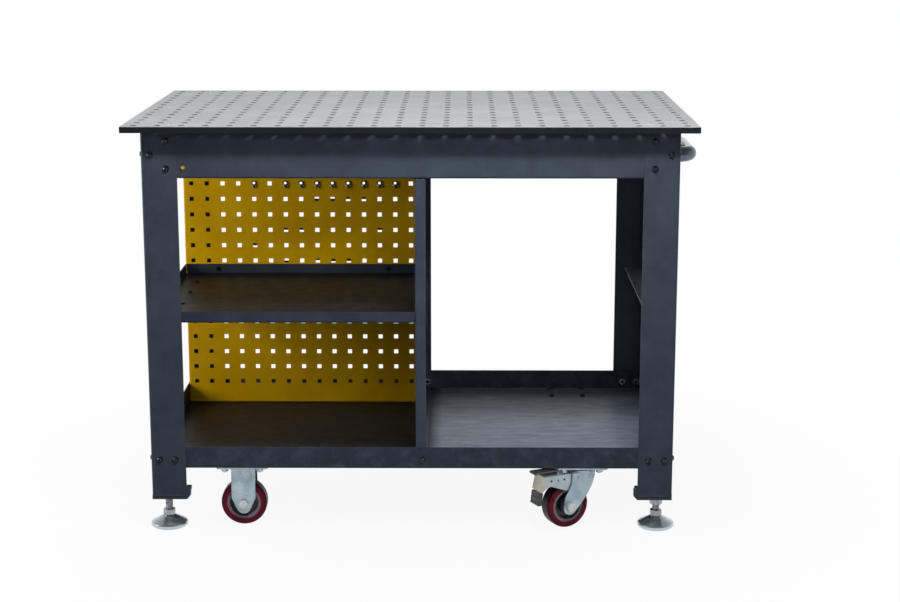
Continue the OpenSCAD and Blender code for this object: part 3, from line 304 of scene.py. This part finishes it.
def wheel_core(name, middle, yaw):
    """Wheel centre of glass-filled nylon, black, with a rim band of grey polypropylene that the tyre is cast on. The
    eye gets a matt grey ring inside the red tyre, and a cloudy black disc inside the ring."""
    made, tree, shader, place = start(name, {"Roughness": 0.45, "IOR": 1.5})
    away = from_axle(tree, wheel_place(tree, place, middle, yaw))
    cloud = add(tree, "TexNoise", {"Vector": place, "Scale": per_mm(14), "Detail": 3.0})
    black = add(tree, "Mix", {0: cloud.outputs[0], 6: linear("#131416"), 7: linear("#2a2c30")}, data_type="RGBA")
    grey = add(tree, "Mix", {0: cloud.outputs[0], 6: linear("#6c646b"), 7: linear("#8d8389")}, data_type="RGBA")
    band = add(tree, "MapRange", {"Value": away, "From Min": RING_R - 0.0003, "From Max": RING_R + 0.0003})
    both = add(tree, "Mix", {0: band.outputs[0], 6: black.outputs[2], 7: grey.outputs[2]}, data_type="RGBA")
    # Mould grain of 0.5 mm on the real wheel, drawn at 2 mm so that it shows
    texture = add(tree, "TexNoise", {"Vector": place, "Scale": per_mm(2.0), "Detail": 2.0})
    dull = add(tree, "MapRange", {"Value": texture.outputs[0], "From Min": 0.35, "From Max": 0.7,
                                  "To Min": 0.34, "To Max": 0.56})
    wire(tree, shader, both.outputs[2], dull.outputs[0], texture.outputs[0], 0.18, 0.0003)
    return made


def brake_zinc(name, middle, yaw):
    """Zinc-plated brake arm. The eye gets the cool grey of the fork on its sides, and on the sloped end plate, where
    feet rub, the plating has aged to a warm cream. The lever above it is painted a duller grey up to its rolled edge,
    as painted shade from the tray above it."""
    made, tree, shader, place = start(name, {"Metallic": 0.7, "Roughness": 0.32})
    axes = add(tree, "SeparateXYZ", {"Vector": wheel_place(tree, place, middle, yaw)})
    cloud = add(tree, "TexNoise", {"Vector": place, "Scale": per_mm(16), "Detail": 3.0, "Roughness": 0.5})
    cool = add(tree, "Mix", {0: cloud.outputs[0], 6: linear("#93a3ad"), 7: linear("#c3ccd0")}, data_type="RGBA")
    warm = add(tree, "Mix", {0: cloud.outputs[0], 6: linear("#a19d8b"), 7: linear("#d0ccbc")}, data_type="RGBA")
    end = add(tree, "MapRange", {"Value": axes.outputs["X"], "From Min": PEDAL_X[0], "From Max": PEDAL_X[1]})
    pale = add(tree, "Mix", {0: end.outputs[0], 6: cool.outputs[2], 7: warm.outputs[2]}, data_type="RGBA")
    # The lever's top, under the tray, is painted a dull grey up to its rolled edge: painted shade
    lever = add(tree, "MapRange", {"Value": axes.outputs["Z"], "From Min": LEVER_Z - 0.001, "From Max": LEVER_Z})
    edge = add(tree, "MapRange", {"Value": axes.outputs["X"], "From Min": LEVER_EDGE_X + 0.0005,
                                  "From Max": LEVER_EDGE_X - 0.0005})
    lever_painted_shade = add(tree, "Math", {0: lever.outputs[0], 1: edge.outputs[0]}, operation="MULTIPLY")
    both = add(tree, "Mix", {0: lever_painted_shade.outputs[0], 6: pale.outputs[2], 7: linear("#5b6064")}, data_type="RGBA")
    fine = add(tree, "TexNoise", {"Vector": place, "Scale": per_mm(2.0), "Detail": 3.0, "Roughness": 0.6})
    dull = add(tree, "MapRange", {"Value": fine.outputs[0], "From Min": 0.3, "From Max": 0.7,
                                  "To Min": 0.24, "To Max": 0.44})
    wire(tree, shader, both.outputs[2], dull.outputs[0], fine.outputs[0], 0.2, 0.0002)
    return made


def moulded(name, colour, light, rough):
    """Moulded engineering plastic, such as nylon or polypropylene. The eye gets an even, slightly cloudy body with a
    spark-eroded mould grain that breaks up its shine."""
    made, tree, shader, place = start(name, {"Roughness": rough, "IOR": 1.5})
    cloud = add(tree, "TexNoise", {"Vector": place, "Scale": per_mm(18), "Detail": 3.0})
    tone = add(tree, "MapRange", {"Value": cloud.outputs[0], "From Min": 0.35, "From Max": 0.7})
    base = add(tree, "Mix", {0: tone.outputs[0], 6: linear(colour), 7: linear(light)}, data_type="RGBA")
    # Mould grain of 0.5 mm on the real plastic, drawn at 1.8 mm so that it shows
    texture = add(tree, "TexNoise", {"Vector": place, "Scale": per_mm(1.8), "Detail": 2.0})
    dull = add(tree, "MapRange", {"Value": texture.outputs[0], "From Min": 0.35, "From Max": 0.7,
                                  "To Min": rough - 0.08, "To Max": rough + 0.12})
    wire(tree, shader, base.outputs[2], dull.outputs[0], texture.outputs[0], 0.18, 0.0003)
    return made


slate = powder_coat("slate_powder_coat", "#434b59", "#626b7a", "#39414e")
# The tray's and the shelf's copies of the slate are painted darker than the frame's, as painted shade low inside the
# table; the tray's pale tone is lighter too, for the painted reflection on its floor
slate_tray = powder_coat("slate_powder_coat_tray", "#373f4b", "#8791a0", "#2f3641", rough=0.40,
                         floor_z=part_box("bottom_tray")[0][2] + SHEET, reflection_from=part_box("divider")[1][0])
# The shelf's floor gets no painted reflection, so the part that would get it begins past the shelf
slate_shelf = powder_coat("slate_powder_coat_shelf", "#373f4b", "#565e6b", "#2f3641", rough=0.44,
                          floor_z=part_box("mid_shelf")[0][2] + SHEET, reflection_from=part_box("mid_shelf")[1][0])
yellow = powder_coat("yellow_powder_coat", "#e2b100", "#f0c834", "#d2a000", rough=0.4, haze=0.13)
plate_steel = ground_plate()
zinc = plated("bright_zinc_plate", "#92a6b3", "#bac9d1", 0.30, 2.2, 24)
zinc_small = plated("zinc_plated_fastener", "#b7bfc5", "#e2e5e6", 0.26, 1.2, 6, metal=0.5)
straw_zinc = plated("yellow_zinc_plate", "#a88c34", "#d6c488", 0.3, 1.2, 4)
olive_zinc = plated("olive_zinc_plate", "#453e1e", "#665d31", 0.4, 1.2, 5)
rod_zinc = plated("rolled_zinc_thread", "#8e949a", "#c4c8cb", 0.28, 1.0, 7)
weld_steel = plated("coated_weld_bead", "#2a313b", "#434b56", 0.45, 1.0, 5, metal=0.2)
chrome = chromed()
dish_steel = turned_dish()
black_steel = blackened("black_oxide_bolt", "#2a2e34", "#7d838a")
small_black = blackened("black_oxide_screw", "#2b303a", "#4d535d")
pad_grey = moulded("ribbed_nylon_pad", "#33383f", "#4c525a", 0.5)
hook_black = moulded("black_polyethylene", "#0c0d0f", "#1c1d20", 0.55)
race_steel = plated("bearing_steel", "#8d9297", "#b9bec2", 0.2, 1.5, 10)

# The finish of each part, by how its name begins; the rest of the frame is slate
finish_by_start = {
    "top_plate": plate_steel, "pegboard": yellow, "bottom_tray": slate_tray, "mid_shelf": slate_shelf,
    "frame_bolts": black_steel, "caster_bolts": black_steel, "light_bolts": small_black,
    "plate_screws": zinc_small, "frame_nuts": zinc_small, "light_nuts": zinc_small, "caster_nuts": zinc_small,
    "rigid_axles": zinc_small, "fork_axle": zinc_small, "handle_plugs": zinc_small,
    "foot_lock_nuts": rod_zinc, "spindle": rod_zinc, "foot_pad": dish_steel,
    "rigid_bracket": zinc, "swivel_plate": zinc, "fork_front": zinc, "fork_rear": zinc, "kingpins": zinc,
    "brake_pad": pad_grey, "bearings": race_steel, "handle_tube": chrome,
}
finish_of = {name: slate for name in parts}
for name in parts:
    for begins, finish in finish_by_start.items():
        if name.startswith(begins):
            finish_of[name] = finish
for side in ("front", "rear"):
    for end in ("left", "right"):
        corner = f"{side}_{end}"
        x, y = CASTERS[corner]
        yaw = FORK_YAW.get(corner, 0.0)
        reach = TRAIL if corner in FORK_YAW else 0.0
        middle = (x + reach * math.cos(yaw), y + reach * math.sin(yaw), AXLE_Z)
        finish_of[f"tread_{corner}"] = cast_tread(f"cast_polyurethane_{corner}", middle, yaw)
        finish_of[f"core_{corner}"] = wheel_core(f"glass_filled_nylon_{corner}", middle, yaw)
        if end == "right":
            finish_of[f"brake_arm_{side}"] = brake_zinc(f"rubbed_zinc_plate_{side}", middle, yaw)
for name, finish in finish_of.items():
    for material_slot in parts[name].material_slots:
        material_slot.material = finish


# Modelling by hand

def deselect():
    """Lets go of every object, the CAD's too."""
    bpy.ops.object.select_all(action="DESELECT")


def take(piece):
    """Selects one piece alone and makes it the active one."""
    deselect()
    piece.select_set(True)
    bpy.context.view_layer.objects.active = piece


def added(name):
    """The primitive that was just added, under its own name."""
    piece = bpy.context.object
    piece.name = piece.data.name = name
    return piece


def pick(piece, test):
    """Goes into edit mode with the corners selected that pass the test."""
    bpy.ops.object.mode_set(mode="EDIT")
    bpy.ops.mesh.select_mode(type="VERT")
    bpy.ops.mesh.select_all(action="DESELECT")
    bpy.ops.object.mode_set(mode="OBJECT")
    for corner in piece.data.vertices:
        corner.select = test(corner.co)
    bpy.ops.object.mode_set(mode="EDIT")


def leave():
    """Closes edit mode with the faces turned outwards."""
    bpy.ops.mesh.select_mode(type="VERT")
    bpy.ops.mesh.select_all(action="SELECT")
    bpy.ops.mesh.remove_doubles(threshold=SAME_POINT)
    bpy.ops.mesh.normals_make_consistent(inside=False)
    bpy.ops.object.mode_set(mode="OBJECT")


def turned(name, profile, sides):
    """A turned piece about z: a disc drawn out ring by ring through (radius, height) pairs, closed at both ends."""
    deselect()
    radius, height = profile[0]
    bpy.ops.mesh.primitive_circle_add(vertices=sides, radius=radius, fill_type="NGON", location=(0, 0, 0))
    piece = added(name)
    bpy.ops.object.mode_set(mode="EDIT")
    bpy.ops.mesh.select_all(action="SELECT")
    bpy.ops.transform.translate(value=(0, 0, height))
    for next_radius, next_height in profile[1:]:
        bpy.ops.mesh.extrude_region_move(TRANSFORM_OT_translate={"value": (0, 0, next_height - height)})
        scale = next_radius / radius
        if abs(scale - 1) > SAME_POINT:
            bpy.ops.transform.resize(value=(scale, scale, 1), center_override=(0, 0, next_height))
        radius, height = next_radius, next_height
    leave()
    return piece


def put(piece, place, turn=(0, 0, 0)):
    """Moves a piece that was made about the origin to its place, and keeps the place in its mesh."""
    piece.rotation_euler = turn
    piece.location = place
    take(piece)
    bpy.ops.object.transform_apply(location=True, rotation=True, scale=True)
    return piece


def again(piece, name):
    """A copy of a piece with its own mesh."""
    made = piece.copy()
    made.data = piece.data.copy()
    made.name = made.data.name = name
    bpy.context.scene.collection.objects.link(made)
    return made


def dress(piece, finish, body):
    """Shades a finished piece, and gives it its material, its body and the material slot that it belongs to."""
    piece.data.materials.clear()
    piece.data.materials.append(finish)
    take(piece)
    bpy.ops.object.shade_smooth_by_angle(angle=SMOOTH_UNDER)
    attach(piece, body)


def threaded_rod(name, radius, pitch, length, sides):
    """A rod with a real helical thread: one tooth of the profile swept up by the Screw modifier, cut square at both
    ends and closed there."""
    depth = 0.61 * pitch
    start_size = 0.001
    deselect()
    bpy.ops.mesh.primitive_plane_add(size=start_size, location=(0, 0, 0))
    piece = added(name)
    # One corner of the plane is kept, moved to the thread's root and drawn out into the outline of one tooth
    pick(piece, lambda co: not (co.x > 0 and co.y > 0))
    bpy.ops.mesh.delete(type="VERT")
    bpy.ops.mesh.select_all(action="SELECT")
    bpy.ops.transform.translate(value=(radius - depth - start_size / 2, -start_size / 2, -pitch))
    for dx, dz in ((0, pitch * 0.12), (depth, pitch * 0.36), (0, pitch * 0.16), (-depth, pitch * 0.36)):
        bpy.ops.mesh.extrude_region_move(TRANSFORM_OT_translate={"value": (dx, 0, dz)})
    bpy.ops.object.mode_set(mode="OBJECT")
    screw = piece.modifiers.new("thread", "SCREW")
    screw.angle = 2 * math.pi
    screw.screw_offset = pitch
    screw.iterations = int(length / pitch) + 2
    screw.steps = screw.render_steps = sides
    screw.use_merge_vertices = True
    screw.merge_threshold = 1e-5
    bpy.ops.object.modifier_apply(modifier="thread")
    bpy.ops.object.mode_set(mode="EDIT")
    bpy.ops.mesh.select_mode(type="VERT")
    for height, normal in ((0.0, -1.0), (length, 1.0)):
        bpy.ops.mesh.select_all(action="SELECT")
        bpy.ops.mesh.bisect(plane_co=(0, 0, height), plane_no=(0, 0, normal), use_fill=True, clear_outer=True)
    leave()
    return piece


def hex_bar(name, across, height):
    """A solid hexagon: a six-sided bar with both ends turned to a cone, as nuts and screw heads are."""
    deselect()
    corner = across / 2 / math.cos(math.pi / 6)
    bpy.ops.mesh.primitive_cylinder_add(vertices=6, radius=corner, depth=height, location=(0, 0, 0))
    piece = added(name)
    cone_tool = turned(name + "_tool", [(across * 0.47, -height / 2), (across * 0.62, -height * 0.34),
                                        (across * 0.62, height * 0.34), (across * 0.47, height / 2)], 36)
    take(piece)
    cut = piece.modifiers.new("chamfer", "BOOLEAN")
    cut.operation = "INTERSECT"
    cut.object = cone_tool
    cut.solver = "EXACT"
    bpy.ops.object.modifier_apply(modifier="chamfer")
    bpy.data.objects.remove(cone_tool)
    return piece


# Levelling feet

# Each foot's threaded rod, with its hexagon and ball end, stands for the plain spindle
ROD_R = 0.0079
ROD_PITCH = 0.002
ROD_SIDES = 24
ROD_LOW = 0.0385
HEX_ACROSS = 0.024
HEX_HIGH = 0.013
HEX_MID = 0.0325
BALL_MID = 0.0215
rod_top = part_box("spindle_front_left")[1][2]
rod_master = threaded_rod("rod_master", ROD_R, ROD_PITCH, rod_top - ROD_LOW, ROD_SIDES)
hex_master = hex_bar("hex_master", HEX_ACROSS, HEX_HIGH)
neck_master = turned("neck_master", [(0.0046, -0.008), (0.0075, -0.0035), (0.0075, 0.0045), (0.0062, 0.0055)], 32)
for corner, (x, y) in FEET.items():
    for master, name, z in ((rod_master, "thread", ROD_LOW), (hex_master, "hexagon", HEX_MID),
                            (neck_master, "ball", BALL_MID)):
        made = put(again(master, f"spindle_{name}_{corner}"), (x, y, z))
        dress(made, rod_zinc, f"foot_{corner}")
        if name == "thread":
            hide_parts(f"spindle_{corner}")
for master in (rod_master, hex_master, neck_master):
    bpy.data.objects.remove(master)


# Earth screw, hooks and welds

# Earth screw on the front apron: a small hexagon head on an olive washer
EARTH = (-0.4909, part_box("apron_front")[0][1], 0.7963)
EARTH_HEAD_OUT = 0.0030  # middle of the head, in front of the apron
washer = turned("earth_washer", [(0.0070, 0.0), (0.0075, 0.0003), (0.0075, 0.0011), (0.0065, 0.0016)], 28)
dress(put(washer, EARTH, (math.pi / 2, 0, 0)), olive_zinc, "frame")
head = hex_bar("earth_screw", 0.0072, 0.0034)
put(head, (EARTH[0], EARTH[1] - EARTH_HEAD_OUT, EARTH[2]), (math.pi / 2, 0, 0))
dress(head, straw_zinc, "frame")


def peg_hole(column, row):
    """Middle of a pegboard hole, counted from the left, and down from the first row that shows below the apron."""
    return PEG_FIRST[0] + column * PEG_PITCH, PEG_FIRST[1] - row * PEG_PITCH


# Wire eyes clipped into the first pegboard row that shows, each with its end turned down over the sheet
EYE_COLUMNS = (4, 6, 7, 8, 9, 10, 11, 12, 13)
EYE_OUT = 0.0013  # middle of the wire, in front of the sheet
deselect()
bpy.ops.mesh.primitive_torus_add(major_segments=24, minor_segments=8, major_radius=0.0047, minor_radius=0.0015,
                                 location=(0, 0, 0.0012), rotation=(math.pi / 2, 0, 0))
eye_master = added("eye_master")
bpy.ops.object.transform_apply(location=True, rotation=True, scale=True)
# The ring's foot is drawn down, forwards and a little aside, to where the wire's end leaves it
pick(eye_master, lambda co: co.z < -0.002)
bpy.ops.transform.translate(value=(0.0006, -0.0012, -0.0006))
leave()
tail = turned("eye_tail", [(0.0008, -0.0108), (0.0018, -0.0104), (0.0023, -0.0094), (0.0023, -0.0050),
                           (0.0017, -0.0034)], 14)
put(tail, (0.0008, -0.0012, 0.0))
take(eye_master)
tail.select_set(True)
bpy.ops.object.join()
for column in EYE_COLUMNS:
    x, z = peg_hole(column, 0)
    made = put(again(eye_master, f"pegboard_eye_{column:02d}"), (x, PEG_FRONT - EYE_OUT, z))
    dress(made, small_black, "frame")
bpy.data.objects.remove(eye_master)

# Tongues of hooks that hang on the pegboard's back, seen through its holes: each one's column and row, and how many
# millimetres it sits above the hole's middle
TONGUES = ((8, 1, -3.0), (9, 1, -3.0), (10, 1, 3.0), (11, 1, 3.0), (6, 3, 3.0), (7, 3, 3.0),
           (12, 3, 3.0), (4, 4, 2.5), (8, 5, 4.0), (9, 5, 1.5), (10, 5, 2.0), (6, 5, -4.0))
TONGUE_BEHIND = 0.0017  # middle of a tongue, behind the sheet
deselect()
bpy.ops.mesh.primitive_cube_add(size=0.001, location=(0, 0, 0))
tongue_master = added("tongue_master")
tongue_master.scale = (13.0, 3.0, 7.0)
bpy.ops.object.transform_apply(location=True, rotation=True, scale=True)
bpy.ops.object.mode_set(mode="EDIT")
bpy.ops.mesh.select_all(action="SELECT")
bpy.ops.mesh.bevel(offset=0.0009, segments=2, affect="EDGES")
leave()
for column, row, lift in TONGUES:
    x, z = peg_hole(column, row)
    made = again(tongue_master, f"hook_tongue_{row}_{column:02d}")
    put(made, (x, PEG_BACK + TONGUE_BEHIND, z + lift / 1000))
    dress(made, hook_black, "frame")
bpy.data.objects.remove(tongue_master)

# Weld beads that join each leg's two outer faces to its foot plate
BEAD_R = 0.0014
BEAD_STEP = 0.0032  # from one ripple to the next
BEAD_SHORT = 0.006  # how far a bead stops from each end of its face
for corner in FEET:
    low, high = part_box(f"leg_{corner}")
    face_x = low[0] if corner.endswith("left") else high[0]
    face_y = low[1] if corner.startswith("front") else high[1]
    for side, length, place, turn in (
            ("front", high[0] - low[0] - 2 * BEAD_SHORT, (low[0] + BEAD_SHORT, face_y, low[2]), (0, math.pi / 2, 0)),
            ("side", high[1] - low[1] - 2 * BEAD_SHORT, (face_x, high[1] - BEAD_SHORT, low[2]), (math.pi / 2, 0, 0))):
        steps = int(length / BEAD_STEP)
        outline = [(BEAD_R * 0.5, 0.0)]
        for step in range(steps):
            outline += [(BEAD_R * 1.12, (step + 0.35) * BEAD_STEP), (BEAD_R * 0.88, (step + 0.95) * BEAD_STEP)]
        outline.append((BEAD_R * 0.4, (steps + 0.2) * BEAD_STEP))
        bead = put(turned(f"weld_{side}_{corner}", outline, 10), place, turn)
        dress(bead, weld_steel, "frame")


# Camera, lamps, floor

def softbox(name, place, aim, size, level, spread=180, mirrored=False):
    """A soft lamp with a rectangular face. Its power is set so that a white face turned to it renders at this level.
    Metal and paint mirror it only where mirrored is set."""
    lamp = bpy.data.lights.new(name, "AREA")
    lamp.shape = "RECTANGLE"
    lamp.size, lamp.size_y = size
    away = (Vector(place) - Vector(aim)).length
    lamp.spread = math.radians(spread)
    # A narrower beam is brighter in its middle for the same power, so its power is cut to match
    cut = 1 - lamp.spread / 2 / math.tan(lamp.spread / 2)
    lamp.energy = level * cut * math.pi ** 2 * away ** 2
    made = bpy.data.objects.new(name, lamp)
    made.location = place
    made.rotation_euler = (Vector(aim) - Vector(place)).to_track_quat("-Z", "Y").to_euler()
    made.visible_camera = False
    made.visible_glossy = mirrored
    bpy.context.scene.collection.objects.link(made)


# The camera stands and looks as the photograph's does, found from the corners and holes of the top
lens = bpy.data.cameras.new("eye")
lens.sensor_width = 36.0
lens.lens = 73.62
camera = bpy.data.objects.new("eye", lens)
camera.location = (0.09233, -4.15453, 1.33843)
camera.rotation_euler = (math.pi / 2 - 0.21357, 0.0, 0.00645)
bpy.context.scene.collection.objects.link(camera)
bpy.context.scene.camera = camera

# The key stands high in front, so that the top shades its apron and its front holes let light fall on it
softbox("top", (-0.30, -0.60, 3.00), (0.0, 0.0, 0.88), (0.60, 0.40), 0.36, mirrored=True)
softbox("key", (0.30, -1.25, 2.15), (0.05, -0.36, 0.78), (0.42, 0.26), 1.25)
softbox("front", (0.40, -1.90, 1.50), (0.06, -0.36, 0.85), (0.50, 0.25), 0.34, spread=60)
softbox("fill", (1.1, -3.6, 0.7), (0.1, 0.0, 0.5), (1.6, 0.9), 0.05)
softbox("back", (-0.9, 3.0, 1.7), (0.0, 0.3, 0.6), (1.8, 1.0), 0.45)
softbox("left", (-1.50, -0.36, 0.75), (-0.6, 0.2, 0.58), (0.30, 0.60), 0.9, mirrored=True)

# White studio: the camera sees it white, and it lights softly. In reflections it is dimmer overhead and in front
world = bpy.data.worlds.new("studio")
bpy.context.scene.world = world
world.use_nodes = True
tree = world.node_tree
tree.nodes.clear()
path = add(tree, "LightPath")
towards = add(tree, "SeparateXYZ", {"Vector": add(tree, "TexCoord").outputs["Generated"]})
hood = add(tree, "MapRange", {"Value": towards.outputs["Z"], "From Min": 0.15, "From Max": 0.75,
                              "To Min": 1.0, "To Max": 0.35})
ahead = add(tree, "MapRange", {"Value": towards.outputs["Y"], "From Min": -0.75, "From Max": 0.45,
                               "To Min": 0.30, "To Max": 1.0})
both = add(tree, "Math", {0: hood.outputs[0], 1: ahead.outputs[0]}, operation="MULTIPLY")
lit = add(tree, "Mix", {0: path.outputs["Is Glossy Ray"], 2: 0.10, 3: both.outputs[0]}, data_type="FLOAT")
shown = add(tree, "Math", {0: path.outputs["Is Camera Ray"], 1: path.outputs["Is Transmission Ray"]},
            operation="MAXIMUM")
strength = add(tree, "Mix", {0: shown.outputs[0], 2: lit.outputs[0], 3: 1.0}, data_type="FLOAT")
sky = add(tree, "Background", {"Color": linear("#ffffff"), "Strength": strength.outputs[0]})
add(tree, "OutputWorld", {"Surface": sky.outputs[0]})

# Pale floor that keeps the table's shadow and fades to the white backdrop away from the table. It lies half a
# millimetre below the pads, because faces in one plane render blotched
FLOOR_Z = -0.0005
deselect()
bpy.ops.mesh.primitive_circle_add(vertices=96, radius=9.0, fill_type="NGON", location=(0, 0, FLOOR_Z))
floor = added("studio_floor")
floor_paint, tree, shader, place = start("matt_white_floor", {"Roughness": 0.9})
grit = add(tree, "TexNoise", {"Vector": place, "Scale": per_mm(6), "Detail": 2.0})
bump = add(tree, "Bump", {"Height": grit.outputs[0], "Strength": 0.05, "Distance": 0.0005})
tree.links.new(bump.outputs[0], shader.inputs["Normal"])
away = add(tree, "VectorMath", {0: place}, operation="LENGTH")
fade = add(tree, "MapRange", {"Value": away.outputs["Value"], "From Min": 0.5, "From Max": 1.3, "To Min": 0.93})
path = add(tree, "LightPath")
# The floor looks pale to the camera, but throws little light back up at the legs
paint = add(tree, "Mix", {0: path.outputs["Is Camera Ray"], 6: linear("#5c5c5c"), 7: linear("#bcbcbc")},
            data_type="RGBA")
tree.links.new(paint.outputs[2], shader.inputs["Base Color"])
seen = add(tree, "Math", {0: path.outputs["Is Camera Ray"], 1: path.outputs["Is Glossy Ray"]}, operation="MAXIMUM")
amount = add(tree, "Math", {0: seen.outputs[0], 1: fade.outputs[0]}, operation="MULTIPLY")
white = add(tree, "Emission", {"Color": linear("#ffffff"), "Strength": 1.0})
mixed = add(tree, "MixShader", {0: amount.outputs[0], 1: shader.outputs[0], 2: white.outputs[0]})
out = [n for n in tree.nodes if n.bl_idname == "ShaderNodeOutputMaterial"][0]
tree.links.new(mixed.outputs[0], out.inputs["Surface"])
floor.data.materials.append(floor_paint)

bpy.context.scene.view_settings.view_transform = "Standard"
